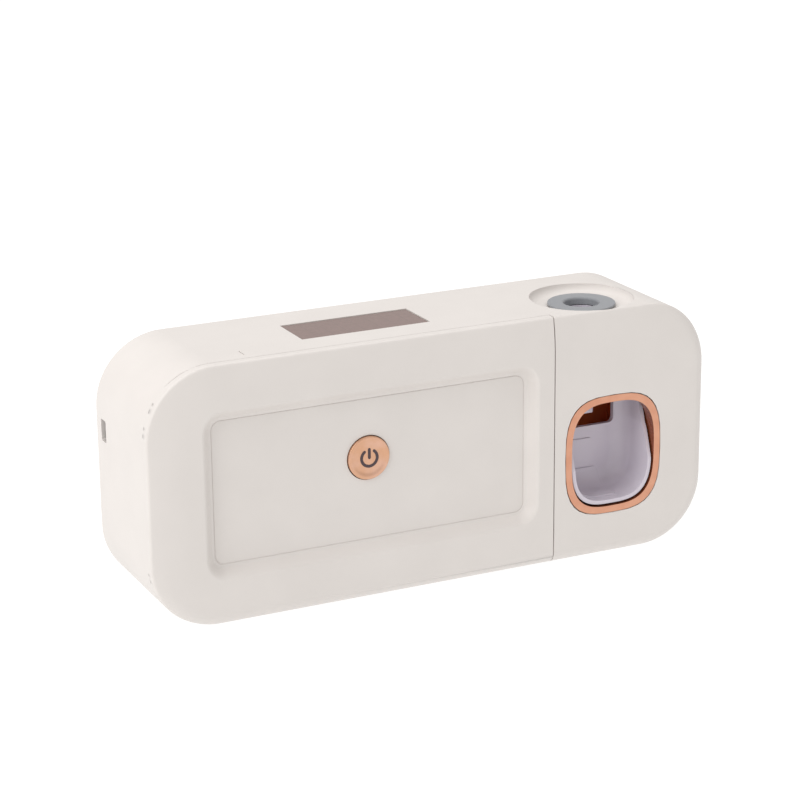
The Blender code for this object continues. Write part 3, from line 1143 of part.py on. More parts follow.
def build_pump_screws():
    bottom = CYLINDER_TOP - CYLINDER_FLANGE - PART_GAP
    for number, side in enumerate((-1, 1), 1):
        profile = [(0.0, bottom + PUMP_SCREW_LENGTH), (PUMP_SCREW_RADIUS, bottom + PUMP_SCREW_LENGTH),
                   (PUMP_SCREW_RADIUS, bottom), (PUMP_SCREW_HEAD_RADIUS, bottom),
                   (PUMP_SCREW_HEAD_RADIUS, bottom - 0.0006), (PUMP_SCREW_HEAD_RADIUS * 0.7, bottom - 0.0011),
                   (0.0, bottom - 0.0011)]
        piece = turned(f"pump_screw_{number}", profile, (PUMP_X + side * PUMP_SCREW_OFFSET, PUMP_Y, 0),
                       cutter=False, steps=10)
        finish_part(piece, STEEL)


def build_inlet_valve():
    bottom = MOUTH_BOTTOM + PART_GAP
    profile = [(VALVE_BORE_RADIUS, bottom + VALVE_THICKNESS),
               (SEAL_BORE_RADIUS - PART_GAP, bottom + VALVE_THICKNESS),
               (SEAL_BORE_RADIUS - PART_GAP, bottom), (VALVE_BORE_RADIUS, bottom)]
    valve = turned("inlet_valve", ring_profile(profile), (PUMP_X, PUMP_Y, 0), cutter=False, steps=24)
    return finish_part(valve, GREY_SILICONE)


def build_pump_piston():
    """The hollow piston: stem in the barrel, collar under the spring, cross lugs, outlet stem below."""
    collar_low, collar_high = LEVER_Z - COLLAR_HALF_HEIGHT, LEVER_Z + COLLAR_HALF_HEIGHT
    bore = PISTON_BORE_RADIUS
    profile = [(bore, PISTON_TOP), (PISTON_RADIUS - 0.0003, PISTON_TOP), (PISTON_RADIUS, PISTON_TOP - 0.0004),
               (PISTON_RADIUS, collar_high), (COLLAR_RADIUS, collar_high), (COLLAR_RADIUS, collar_low),
               (STEM_RADIUS, collar_low), (STEM_RADIUS, STEM_BOTTOM), (bore, STEM_BOTTOM)]
    piston = turned("pump_piston", ring_profile(profile), (PUMP_X, PUMP_Y, 0), cutter=False)
    reach = LEVER_HALF_WIDTH - 2 * PART_GAP
    join(piston, rod("piston_lugs", (0, PUMP_Y, LEVER_Z), 0, LUG_RADIUS, WINDOW_X - reach, WINDOW_X + reach,
                     sides=14))
    cut(piston, rod("paste_way", (PUMP_X, PUMP_Y, 0), 2, bore, STEM_BOTTOM - 0.005, PISTON_TOP + 0.005))
    return finish_part(piston, LILAC_WHITE)


def build_outlet_nozzle():
    """A cup over the piston's lower stem with the toothpaste outlet in its end."""
    inner = STEM_RADIUS + PART_GAP
    outer = inner + NOZZLE_WALL
    top = STEM_BOTTOM + NOZZLE_OVERLAP
    seat = STEM_BOTTOM - PART_GAP
    profile = [(inner, top), (outer, top), (outer, NOZZLE_BOTTOM + 0.0006), (outer - 0.0006, NOZZLE_BOTTOM),
               (NOZZLE_OUTLET_RADIUS, NOZZLE_BOTTOM), (NOZZLE_OUTLET_RADIUS, seat), (inner, seat)]
    nozzle = turned("outlet_nozzle", ring_profile(profile), (PUMP_X, PUMP_Y, 0), cutter=False)
    return finish_part(nozzle, CREAM_ABS)


def build_return_spring():
    """A coil spring round the piston, between its collar and the barrel."""
    low = LEVER_Z + COLLAR_HALF_HEIGHT + PART_GAP + SPRING_WIRE / 2
    high = CYLINDER_BOTTOM - PART_GAP - SPRING_WIRE / 2
    per_turn = 10
    count = max(int((high - low) / SPRING_PITCH), 1) * per_turn + 1
    points = []
    for k in range(count):
        angle = 2 * math.pi * k / per_turn
        points.append((PUMP_X + SPRING_MEAN_RADIUS * math.cos(angle),
                       PUMP_Y + SPRING_MEAN_RADIUS * math.sin(angle), low + (high - low) * k / (count - 1)))
    least = (points[per_turn][2] - points[0][2]) - SPRING_WIRE
    print(f"return_spring: least gap between coils {least * 1000:.2f} mm")
    curve = bpy.data.curves.new("return_spring_curve", "CURVE")
    curve.dimensions = "3D"
    curve.bevel_depth = SPRING_WIRE / 2
    curve.bevel_resolution = 1
    curve.use_fill_caps = True
    spline = curve.splines.new("POLY")
    spline.points.add(count - 1)
    for point, place in zip(spline.points, points):
        point.co = (*place, 1)
    guide = bpy.data.objects.new("return_spring_guide", curve)
    bpy.context.scene.collection.objects.link(guide)
    bpy.context.view_layer.update()
    mesh = bpy.data.meshes.new_from_object(guide.evaluated_get(bpy.context.evaluated_depsgraph_get()))
    bm = bmesh.new()
    bm.from_mesh(mesh)
    bmesh.ops.remove_doubles(bm, verts=bm.verts, dist=0.00001)
    bpy.data.objects.remove(guide, do_unlink=True)
    return finish_part(mesh_object("return_spring", bm), STEEL)


def main():
    build_outer_shell()
    build_back_cover()
    build_back_screws()
    build_door_shell()
    build_hinge_pins()
    build_magnets()
    build_power_button()
    build_switch()
    build_chamber_liner()
    build_brush_rack()
    build_lamps()
    build_electronics()
    build_window_ring()
    build_dispenser_well()
    build_well_screws()
    build_pusher_lever()
    build_lever_pin()
    build_nozzle_seal()
    build_pump_cylinder()
    build_pump_screws()
    build_inlet_valve()
    build_pump_piston()
    build_outlet_nozzle()
    build_return_spring()


main()
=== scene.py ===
import math

import bmesh
import bpy
from mathutils import Matrix, Vector


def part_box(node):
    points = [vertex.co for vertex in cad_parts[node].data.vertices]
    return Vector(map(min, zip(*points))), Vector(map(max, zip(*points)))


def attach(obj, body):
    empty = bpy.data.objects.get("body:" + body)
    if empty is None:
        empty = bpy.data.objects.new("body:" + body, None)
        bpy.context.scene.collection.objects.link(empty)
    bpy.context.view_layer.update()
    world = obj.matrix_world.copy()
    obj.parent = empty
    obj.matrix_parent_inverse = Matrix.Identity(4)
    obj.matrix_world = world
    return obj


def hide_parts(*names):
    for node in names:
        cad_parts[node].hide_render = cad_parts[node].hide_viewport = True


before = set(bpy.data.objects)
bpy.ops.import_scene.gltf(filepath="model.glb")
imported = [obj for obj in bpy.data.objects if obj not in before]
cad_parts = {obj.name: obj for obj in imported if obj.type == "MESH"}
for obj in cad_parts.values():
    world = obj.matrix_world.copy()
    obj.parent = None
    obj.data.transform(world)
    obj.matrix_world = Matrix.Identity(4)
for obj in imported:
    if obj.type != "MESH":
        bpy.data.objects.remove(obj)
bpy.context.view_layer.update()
bpy.context.scene.view_settings.view_transform = "Standard"


# Camera
# It stands to the left of the box, a little above it, as far away as a product photographer's long
# lens asks for, and it is rolled by half a degree as the photograph is.

CAMERA_SPOT = (-0.3533, -0.7312, 0.3154)
azimuth, elevation, roll = math.radians(25.56), math.radians(17.45), -0.0103
ahead = Vector((math.sin(azimuth) * math.cos(elevation),
                math.cos(azimuth) * math.cos(elevation), -math.sin(elevation)))
level_right = Vector((math.cos(azimuth), -math.sin(azimuth), 0))
level_up = level_right.cross(ahead)
camera_right = math.cos(roll) * level_right + math.sin(roll) * level_up
camera_up = math.cos(roll) * level_up - math.sin(roll) * level_right
turn = Matrix((camera_right, camera_up, -ahead)).transposed()
camera_data = bpy.data.cameras.new("studio_camera")
camera_data.lens = 110.66
camera_data.sensor_width = 36
camera_data.clip_end = 50
camera = bpy.data.objects.new("studio_camera", camera_data)
camera.matrix_world = Matrix.Translation(CAMERA_SPOT) @ turn.to_4x4()
bpy.context.scene.collection.objects.link(camera)
bpy.context.scene.camera = camera


# Studio floor
# A light table: a wide sheet of translucent white acrylic lit from below, so only a faint shade
# shows where the box stands on it.

def linear(hex_colour):
    """An sRGB hex colour as linear red, green, blue and 1."""
    parts = [int(hex_colour[i:i + 2], 16) / 255 for i in (0, 2, 4)]
    return [part / 12.92 if part <= 0.04045 else ((part + 0.055) / 1.055) ** 2.4
            for part in parts] + [1.0]


def new_material(name):
    """An empty node material and its Principled shader, already joined to the output."""
    material = bpy.data.materials.new(name)
    material.use_nodes = True
    tree = material.node_tree
    tree.nodes.clear()
    output = tree.nodes.new("ShaderNodeOutputMaterial")
    shader = tree.nodes.new("ShaderNodeBsdfPrincipled")
    tree.links.new(shader.outputs[0], output.inputs["Surface"])
    return material, tree, shader


def add(tree, kind, settings, inputs):
    """One shader node with its settings, its inputs filled by values or by other nodes' outputs."""
    node = tree.nodes.new(kind)
    for name, value in settings.items():
        setattr(node, name, value)
    for name, value in inputs.items():
        if isinstance(value, bpy.types.NodeSocket):
            tree.links.new(value, node.inputs[name])
        else:
            node.inputs[name].default_value = value
    return node


def noise(tree, scale, detail, roughness=0.5):
    """A grey value that varies as a noise texture fixed to the piece does."""
    place = add(tree, "ShaderNodeTexCoord", {}, {})
    texture = add(tree, "ShaderNodeTexNoise", {},
                  {"Vector": place.outputs["Object"], "Scale": scale, "Detail": detail,
                   "Roughness": roughness})
    return texture.outputs["Fac"]


def tone(tree, grey, dark, light, start=0.0, end=1.0):
    """A colour between two hex colours, by a grey value."""
    ramp = add(tree, "ShaderNodeValToRGB", {}, {"Fac": grey})
    first, last = ramp.color_ramp.elements
    first.position, last.position = start, end
    first.color, last.color = linear(dark), linear(light)
    return ramp.outputs["Color"]


bpy.ops.object.select_all(action="DESELECT")
bpy.ops.mesh.primitive_plane_add(size=8, location=(0, 0, 0))
floor = bpy.context.object
floor.name = "light_table"
# Opal acrylic: matt, evenly lit from below, with a faint cloudiness.
opal, tree, shader = new_material("opal acrylic lit from below")
cloudy = tone(tree, noise(tree, 6.0, 3.0), "FBFBFA", "FFFFFE")
dimmed = add(tree, "ShaderNodeMix", {"data_type": "RGBA"},
             {"Factor": 0.75, 6: cloudy, 7: linear("000000")})
tree.links.new(dimmed.outputs[2], shader.inputs["Base Color"])
tree.links.new(cloudy, shader.inputs["Emission Color"])
shader.inputs["Emission Strength"].default_value = 0.88
shader.inputs["Roughness"].default_value = 1.0
shader.inputs["Specular IOR Level"].default_value = 0.0
floor.data.materials.append(opal)


# Studio lights
# A bright white room with a soft box high on the left, as the lit left side shows, and a wider and
# stronger one above for the lit top.

world = bpy.data.worlds.new("white_room")
bpy.context.scene.world = world
world.use_nodes = True
world.node_tree.nodes["Background"].inputs["Color"].default_value = linear("FFFEFC")
world.node_tree.nodes["Background"].inputs["Strength"].default_value = 0.68

for name, spot, target, size, power in (
        ("soft_box_left", (-1.2, -0.35, 0.9), (0, 0, 0.03), 1.0, 9.5),
        ("soft_box_above", (0.0, 0.3, 1.8), (0, 0.2, 0), 1.6, 12.5)):
    light = bpy.data.lights.new(name, "AREA")
    light.shape = "SQUARE"
    light.size = size
    light.energy = power
    lamp = bpy.data.objects.new(name, light)
    lamp.location = spot
    lamp.rotation_euler = (Vector(spot) - Vector(target)).to_track_quat("Z", "Y").to_euler()
    bpy.context.scene.collection.objects.link(lamp)


# Case shell
# The sleeve that everything is fixed in, with the fixed front at its right end and the round paste
# dish in its top. Injection-moulded ABS in a warm white, with a fine satin texture from the mould.

WIDTH, DEPTH, HEIGHT = 0.210, 0.050, 0.090
LEFT, RIGHT, FRONT, BACK = -WIDTH / 2, WIDTH / 2, -DEPTH / 2, DEPTH / 2
CORNER = 0.0241
# The front's edge: the radius of its round part, the radius of its crisp part, and how deep and how
# wide the pillow beside the crisp part is. Rings of vertices shape it, so many mm inward each.
FILLET = 0.0046
CRISP, PILLOW, PILLOW_WIDTH = 0.0008, 0.0015, 0.0142
RINGS_MM = (0.05, 0.15, 0.3, 0.5, 0.8, 1.2, 1.7, 2.3, 3.0, 3.8, 4.6, 6.5, 9.0, 11.5, 14.2)
# A CAD vertex this close to the outer skin is moved this far out, so that a finer skin fits inside.
ON_SKIN, SKIN = 0.00025, 0.0014
# Where the door's skirt meets the sleeve, the gap there in CAD, and how much each side closes it.
PARTING, PARTING_GAP, TIGHTEN = -0.0200, 0.0003, 0.00014
DISH = (0.0653, -0.0047)
DISH_RADIUS, DISH_ROUND = 0.0185, 0.0030
DISH_FLOOR, DISH_UNDERSIDE = 0.0872, 0.0856
DISH_STEPS = 8
SEAL_HOLE = 0.0097


def only(piece):
    """Leaves edit mode, selects this piece alone and makes it the active one."""
    if bpy.context.mode != "OBJECT":
        bpy.ops.object.mode_set(mode="OBJECT")
    bpy.ops.object.select_all(action="DESELECT")
    piece.select_set(True)
    bpy.context.view_layer.objects.active = piece


def pick_faces(piece, chosen):
    """Opens the piece for editing and selects the faces chosen by their middle and normal."""
    only(piece)
    bpy.ops.object.mode_set(mode="EDIT")
    bpy.ops.mesh.select_mode(type="FACE")
    bpy.ops.mesh.select_all(action="DESELECT")
    mesh = bmesh.from_edit_mesh(piece.data)
    for face in mesh.faces:
        face.select_set(bool(chosen(face.calc_center_median(), face.normal)))
    mesh.select_flush_mode()
    bmesh.update_edit_mesh(piece.data)


def pick_edges(piece, chosen):
    """Opens the piece for editing and selects the edges chosen by their two ends."""
    only(piece)
    bpy.ops.object.mode_set(mode="EDIT")
    bpy.ops.mesh.select_mode(type="EDGE")
    bpy.ops.mesh.select_all(action="DESELECT")
    mesh = bmesh.from_edit_mesh(piece.data)
    for edge in mesh.edges:
        edge.select_set(bool(chosen(edge.verts[0].co, edge.verts[1].co)))
    mesh.select_flush_mode()
    bmesh.update_edit_mesh(piece.data)


def close(piece):
    """Leaves edit mode."""
    bpy.ops.object.mode_set(mode="OBJECT")
    return piece


def new_block(name, low, high):
    """A block between two corners, ready to be shaped."""
    bpy.ops.object.select_all(action="DESELECT")
    bpy.ops.mesh.primitive_cube_add(size=1, location=[(a + b) / 2 for a, b in zip(low, high)],
                                    scale=[b - a for a, b in zip(low, high)])
    block = bpy.context.object
    block.name = name
    bpy.ops.object.transform_apply(location=True, rotation=True, scale=True)
    return block


def new_rod(name, start, end, radius, sides=96):
    """A round bar between two points on a line along one axis."""
    start, end = Vector(start), Vector(end)
    bpy.ops.object.select_all(action="DESELECT")
    bpy.ops.mesh.primitive_cylinder_add(vertices=sides, radius=radius, depth=(end - start).length,
                                        location=(start + end) / 2,
                                        rotation=(end - start).to_track_quat("Z", "Y").to_euler())
    bar = bpy.context.object
    bar.name = name
    bpy.ops.object.transform_apply(location=True, rotation=True, scale=True)
    return bar


def combine(piece, tool, operation, self_crossing=False):
    """Joins, cuts or keeps by an exact Boolean, and removes the tool."""
    only(piece)
    change = piece.modifiers.new("combine", "BOOLEAN")
    change.operation = operation
    change.solver = "EXACT"
    change.use_self = self_crossing
    change.object = tool
    bpy.ops.object.modifier_apply(modifier=change.name)
    bpy.data.objects.remove(tool)
    return piece


def outline_side(x, z):
    """The vector out of the case's inner rectangle to a place. On the outline it is CORNER long."""
    return Vector((x - min(max(x, LEFT + CORNER), RIGHT - CORNER), 0,
                   z - min(max(z, CORNER), HEIGHT - CORNER)))


def front_depth(inward, side):
    """How far the front lies back at a distance inward of the outline. Along the top and the left
    it is a slight pillow with a crisp edge, and along the right and the bottom the edge is a round
    fillet."""
    fillet = FILLET - math.sqrt(FILLET ** 2 - max(FILLET - inward, 0) ** 2)
    crisp = (PILLOW * max(1 - inward / PILLOW_WIDTH, 0) ** 2
             + CRISP - math.sqrt(CRISP ** 2 - max(CRISP - inward, 0) ** 2))
    share = min(max(0.5 + (side.z - side.x) / side.length / 2, 0), 1)
    return fillet + (crisp - fillet) * share * share * (3 - 2 * share)


def case_block(name, back):
    """A block with the case's outline and front, from the front to a depth at the back."""
    block = new_block(name, (LEFT, FRONT, 0), (RIGHT, back, HEIGHT))
    pick_edges(block, lambda a, b: abs(a.y - b.y) > 1e-4)
    bpy.ops.mesh.bevel(offset=CORNER, segments=36, profile=0.5, affect="EDGES")
    close(block)
    reached = 0.0
    for ring in RINGS_MM:
        pick_faces(block, lambda middle, normal: normal.y < -0.99 and abs(middle.x) < 0.001
                   and abs(middle.z - HEIGHT / 2) < 0.001)
        bpy.ops.mesh.inset(thickness=(ring - reached) / 1000)
        close(block)
        reached = ring
    for vertex in block.data.vertices:
        if vertex.co.y < FRONT + 1e-6:
            side = outline_side(vertex.co.x, vertex.co.z)
            vertex.co.y = FRONT + front_depth(max(CORNER - side.length, 0), side)
    return block


def merged_copy(node, name):
    """A copy of a CAD node with its loose triangles merged."""
    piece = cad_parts[node].copy()
    piece.data = piece.data.copy()
    piece.name = name
    piece.parent = None
    piece.matrix_world = Matrix.Identity(4)
    piece.data.materials.clear()
    bpy.context.scene.collection.objects.link(piece)
    only(piece)
    bpy.ops.object.mode_set(mode="EDIT")
    bpy.ops.mesh.select_all(action="SELECT")
    bpy.ops.mesh.remove_doubles(threshold=1e-6)
    return close(piece)


def merge_flats(piece, degrees):
    """Makes the faces whole that lie flat to each other within an angle."""
    only(piece)
    bpy.ops.object.mode_set(mode="EDIT")
    bpy.ops.mesh.select_all(action="SELECT")
    bpy.ops.mesh.dissolve_limited(angle_limit=math.radians(degrees))
    return close(piece)


def raise_skin(piece):
    """Moves the vertices on the case's outer skin outwards."""
    for vertex in piece.data.vertices:
        x, y, z = vertex.co
        side = outline_side(x, z)
        inward, depth = CORNER - side.length, y - FRONT
        if side.length:
            side.normalize()
        if inward < FILLET and depth < FILLET:
            away = (FILLET - inward) * side + Vector((0, depth - FILLET, 0))
            if abs(away.length - FILLET) < ON_SKIN:
                vertex.co += away.normalized() * SKIN
        elif inward < ON_SKIN:
            vertex.co += side * SKIN
        elif depth < ON_SKIN:
            vertex.co.y -= SKIN
    return piece


def smooth(piece, angle=32):
    """Smooth shading that keeps sharp edges sharp and flat faces flat."""
    only(piece)
    bpy.ops.object.shade_smooth_by_angle(angle=math.radians(angle))
    weigh = piece.modifiers.new("weigh", "WEIGHTED_NORMAL")
    weigh.keep_sharp = True
    bpy.ops.object.modifier_apply(modifier=weigh.name)
    return piece


def tighten(piece, side):
    """Brings the piece's edge at the parting line closer to the other piece's. The side is 1 for
    the piece behind the line and -1 for the one before it."""
    for vertex in piece.data.vertices:
        if abs(vertex.co.y - PARTING - side * PARTING_GAP / 2) < 1e-5:
            vertex.co.y -= side * TIGHTEN
    return piece


shell = tighten(raise_skin(merged_copy("outer_shell", "case_shell")), 1)
combine(shell, new_rod("dish_disc", (*DISH, DISH_UNDERSIDE + 0.00005), (*DISH, HEIGHT + SKIN),
                       DISH_RADIUS + 0.0008), "UNION")
combine(shell, case_block("fine_skin", BACK + SKIN), "INTERSECT")

# The dish: a round rim, a curved wall down to a flat floor, and the seal's hole.
dish = new_rod("dish_tool", (*DISH, HEIGHT), (*DISH, HEIGHT + 0.004), DISH_RADIUS, sides=128)
reach = 0.0
for step in range(1, DISH_STEPS + 1):
    angle = math.pi / 2 * step / DISH_STEPS
    new_reach = DISH_ROUND * (1 - math.cos(angle))
    drop = (HEIGHT - DISH_FLOOR) * (math.sin(angle) - math.sin(angle - math.pi / 2 / DISH_STEPS))
    pick_faces(dish, lambda middle, normal: normal.z < -0.99)
    bpy.ops.mesh.extrude_region_move(TRANSFORM_OT_translate={"value": (0, 0, -drop)})
    share = (DISH_RADIUS - new_reach) / (DISH_RADIUS - reach)
    bpy.ops.transform.resize(value=(share, share, 1), center_override=(*DISH, 0))
    reach = new_reach
    close(dish)
pick_faces(dish, lambda middle, normal: normal.z < -0.99)
bpy.ops.mesh.inset(thickness=DISH_RADIUS - reach - SEAL_HOLE)
bpy.ops.mesh.extrude_region_move(TRANSFORM_OT_translate={"value": (0, 0, -0.003)})
combine(shell, close(dish), "DIFFERENCE")

# A short moulded tick in the top, above the left hinge.
tick = new_block("tick_tool", (-0.0678, -0.0170, HEIGHT - 0.0004),
                 (-0.0674, -0.0120, HEIGHT + 0.001))
combine(shell, tick, "DIFFERENCE")
smooth(merge_flats(shell, 0.3))


def between(tree, grey, low, high):
    """A value between two values, by a grey value."""
    spread = add(tree, "ShaderNodeMapRange", {}, {"Value": grey, "To Min": low, "To Max": high})
    return spread.outputs["Result"]


def relief(tree, grey, strength, distance):
    """A surface that a grey value raises and lowers."""
    bump = add(tree, "ShaderNodeBump", {},
               {"Height": grey, "Strength": strength, "Distance": distance})
    return bump.outputs["Normal"]


# Warm white ABS: satin, with the fine spark-eroded grain of a moulding tool and a very slight
# mottle. The real grain is about 0.05 mm. It is drawn at 0.25 mm so that it shows at all.
warm_abs, tree, shader = new_material("warm white moulded ABS")
grain = noise(tree, 4000.0, 2.0, 0.6)
mottle = noise(tree, 60.0, 3.0)
tree.links.new(tone(tree, mottle, "D9D3CF", "DCD6D2", 0.3, 0.7), shader.inputs["Base Color"])
tree.links.new(between(tree, grain, 0.42, 0.52), shader.inputs["Roughness"])
tree.links.new(relief(tree, grain, 0.12, 0.00004), shader.inputs["Normal"])
shader.inputs["IOR"].default_value = 1.5
shell.data.materials.append(warm_abs)
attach(shell, "casing")
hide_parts("outer_shell")


# Back cover and its screws
# A flat ABS plate that closes the rear, with two keyholes for screws in a wall. Four plated steel
# screws hold it in the shell's corner bosses.


def refinish(node, material):
    """Gives a CAD node its real material and leaves its shape as it is."""
    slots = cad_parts[node].data.materials
    if not slots:
        slots.append(material)
    for index in range(len(slots)):
        slots[index] = material


def round_edges(piece, width, steps):
    """Rounds off the piece's sharp edges by a bevel that is applied."""
    only(piece)
    ease = piece.modifiers.new("ease", "BEVEL")
    ease.width = width
    ease.segments = steps
    ease.limit_method = "ANGLE"
    ease.angle_limit = math.radians(40)
    bpy.ops.object.modifier_apply(modifier=ease.name)
    return smooth(piece)


def eased(node, name, width, steps=2):
    """A copy of a CAD node with its flat faces made whole and its sharp edges rounded off."""
    return round_edges(merge_flats(merged_copy(node, name), 1), width, steps)


cover = smooth(merged_copy("back_cover", "rear_plate"))
cover.data.materials.append(warm_abs)
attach(cover, "casing")
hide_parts("back_cover")

# Zinc-plated steel: bright, with a fine turned mottle in its gloss.
plated_steel, tree, shader = new_material("zinc-plated steel")
crystals = noise(tree, 2500.0, 2.0)
tree.links.new(tone(tree, crystals, "A9ACB0", "C6C8CA"), shader.inputs["Base Color"])
tree.links.new(between(tree, crystals, 0.22, 0.42), shader.inputs["Roughness"])
shader.inputs["Metallic"].default_value = 1.0
for number in range(1, 5):
    screw = eased(f"back_screw_{number}", f"rear_screw_{number}", 0.0001)
    screw.data.materials.append(plated_steel)
    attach(screw, "casing")
    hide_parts(f"back_screw_{number}")


# Door
# The flip-up front cover, one ABS moulding: a skirt all round, a shallow pressed panel whose soft
# slope ends in a crisp crease, and the two hinge arms inside.

SEAM = 0.04346
PANEL_LEFT, PANEL_RIGHT, PANEL_BOTTOM, PANEL_TOP = -0.0820, 0.0335, 0.0205, 0.0705
PANEL_DEPTH, PANEL_CORNER = 0.0037, 0.0078
SLOPE, SLOPE_STEPS = 0.0045, 14
# The crease is a groove round the panel: how far each step goes inward and how far it sinks.
CREASE = ((0.00012, 0.00022), (0.00016, 0.0), (0.00012, -0.00022))
BUTTON = (-0.0258, 0.0496)
HOLE_RADIUS, PLUG_RADIUS = 0.0079, 0.0092
HOLE_BACK, PLUG_BACK = -0.0190, -0.01975

door = tighten(raise_skin(merged_copy("door_shell", "door_cover")), -1)
panel_faces = [face for face in door.data.polygons
               if face.normal.y < -0.1 and face.center.y < FRONT + PANEL_DEPTH + 1e-5
               and LEFT + 0.016 < face.center.x < SEAM - 0.003
               and 0.014 < face.center.z < HEIGHT - 0.014]
for number in {number for face in panel_faces for number in face.vertices}:
    door.data.vertices[number].co.y = FRONT - SKIN

front = case_block("door_skin", -0.005)
pressed = new_block("panel_tool", (PANEL_LEFT - SLOPE, FRONT - 0.003, PANEL_BOTTOM - SLOPE),
                    (PANEL_RIGHT + SLOPE, FRONT, PANEL_TOP + SLOPE))
pick_edges(pressed, lambda a, b: abs(a.y - b.y) > 1e-4)
bpy.ops.mesh.bevel(offset=PANEL_CORNER, segments=12, profile=0.5, affect="EDGES")
close(pressed)
depth = 0.0
for step in range(1, SLOPE_STEPS + 1):
    share = step / SLOPE_STEPS
    new_depth = PANEL_DEPTH * (0.5 - 0.5 * math.cos(math.pi * share))
    pick_faces(pressed, lambda middle, normal: normal.y > 0.99 and middle.y > FRONT + depth - 1e-5)
    bpy.ops.mesh.inset(thickness=SLOPE / SLOPE_STEPS)
    bpy.ops.transform.translate(value=(0, new_depth - depth, 0))
    close(pressed)
    depth = new_depth
for thickness, sink in CREASE:
    pick_faces(pressed, lambda middle, normal: normal.y > 0.99 and middle.x < 0 and middle.z > 0.03)
    bpy.ops.mesh.inset(thickness=thickness)
    bpy.ops.transform.translate(value=(0, sink, 0))
    close(pressed)
combine(front, pressed, "DIFFERENCE")
# The button's hole is filled and cut again, rounder and closer to the cap.
combine(door, new_rod("hole_plug", (BUTTON[0], FRONT - SKIN / 2, BUTTON[1]),
                      (BUTTON[0], PLUG_BACK, BUTTON[1]), PLUG_RADIUS), "UNION")
combine(door, front, "INTERSECT", self_crossing=True)
combine(door, new_rod("button_hole", (BUTTON[0], FRONT - SKIN, BUTTON[1]),
                      (BUTTON[0], HOLE_BACK, BUTTON[1]), HOLE_RADIUS, sides=128), "DIFFERENCE")
smooth(door, 28)
door.data.materials.append(warm_abs)
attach(door, "door")
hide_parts("door_shell")


# Power button
# A round rose-gold cap that stands a little proud of the pressed panel, with a raised rim round a
# shallow dish. The power sign is a dark window in the cap that the lamp behind it shines through.

BUTTON_RADIUS = 0.0076
BUTTON_FACE = -0.0222
# From the rim to the middle of the cap: how far each step goes inward and how far it sinks.
CAP_STEPS = ((0.00040, 0.00002), (0.00050, 0.00006), (0.00035, 0.00014), (0.00035, 0.00012),
             (0.00060, 0.00008), (0.0012, 0.00004))
# The power sign: its middle, its outer radius, its stroke and half the angle of its gap. The gap is
# cut by a block that is spread at its top into a wedge.
SIGN = (BUTTON[0] + 0.0002, BUTTON[1] - 0.0001)
SIGN_RADIUS, STROKE, GAP = 0.0034, 0.00102, math.radians(38)
WEDGE_HALF, WEDGE_HEIGHT = 0.00005, 0.006

cap_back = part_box("power_button")[1].y
cap = new_rod("button_cap", (BUTTON[0], cap_back, BUTTON[1]), (BUTTON[0], BUTTON_FACE, BUTTON[1]),
              BUTTON_RADIUS, sides=128)
pick_edges(cap, lambda a, b: a.y < BUTTON_FACE + 1e-5 and b.y < BUTTON_FACE + 1e-5)
bpy.ops.mesh.bevel(offset=0.0004, segments=4, profile=0.5, affect="EDGES")
close(cap)
sunk = 0.0
for thickness, sink in CAP_STEPS:
    pick_faces(cap, lambda middle, normal: normal.y < -0.999 and (middle - Vector(
        (BUTTON[0], middle.y, BUTTON[1]))).length < 1e-4 and middle.y < BUTTON_FACE + sunk + 1e-5)
    bpy.ops.mesh.inset(thickness=thickness)
    bpy.ops.transform.translate(value=(0, sink, 0))
    close(cap)
    sunk += sink
smooth(cap)


def rose_plating(name, dark, light):
    """Rose-gold vacuum plating under satin lacquer on ABS. The real metal film is a fraction of a
    micron and the lacquer softens it, so it looks like a warm satin paint with a metal glow."""
    material, tree, shader = new_material(name)
    film = noise(tree, 3000.0, 2.0)
    cloud = noise(tree, 200.0, 2.0)
    tree.links.new(tone(tree, cloud, dark, light, 0.35, 0.65), shader.inputs["Base Color"])
    tree.links.new(between(tree, film, 0.26, 0.36), shader.inputs["Roughness"])
    shader.inputs["Metallic"].default_value = 0.55
    shader.inputs["Coat Weight"].default_value = 0.25
    shader.inputs["Coat Roughness"].default_value = 0.3
    return material


rose_gold = rose_plating("satin rose-gold plating", "D3A180", "D9AB92")
cap.data.materials.append(rose_gold)
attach(cap, "button")
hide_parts("power_button")

# The sign: a ring open at the top, and an upright bar, both with round ends.
SIGN_FACE = BUTTON_FACE + sunk - 0.00008
SIGN_BACK = BUTTON_FACE + sunk + 0.0002
ring_middle = SIGN_RADIUS - STROKE / 2
sign = new_rod("power_sign", (SIGN[0], SIGN_BACK, SIGN[1]), (SIGN[0], SIGN_FACE, SIGN[1]),
               SIGN_RADIUS)
combine(sign, new_rod("sign_hole", (SIGN[0], SIGN_BACK + 0.001, SIGN[1]),
                      (SIGN[0], SIGN_FACE - 0.001, SIGN[1]), SIGN_RADIUS - STROKE), "DIFFERENCE")
wedge = new_block("sign_gap", (SIGN[0] - WEDGE_HALF, SIGN_FACE - 0.001, SIGN[1]),
                  (SIGN[0] + WEDGE_HALF, SIGN_BACK + 0.001, SIGN[1] + WEDGE_HEIGHT))
pick_faces(wedge, lambda middle, normal: normal.z > 0.9)
bpy.ops.transform.resize(value=(WEDGE_HEIGHT * math.tan(GAP) / WEDGE_HALF, 1, 1),
                         center_override=(SIGN[0], 0, SIGN[1]))
close(wedge)
combine(sign, wedge, "DIFFERENCE")
for side in (-1, 1):
    spot = (SIGN[0] + side * ring_middle * math.sin(GAP), SIGN[1] + ring_middle * math.cos(GAP))
    combine(sign, new_rod("sign_end", (spot[0], SIGN_BACK - 1e-6 * side, spot[1]),
                          (spot[0], SIGN_FACE + 1e-6 * side, spot[1]), STROKE / 2, sides=32),
            "UNION")
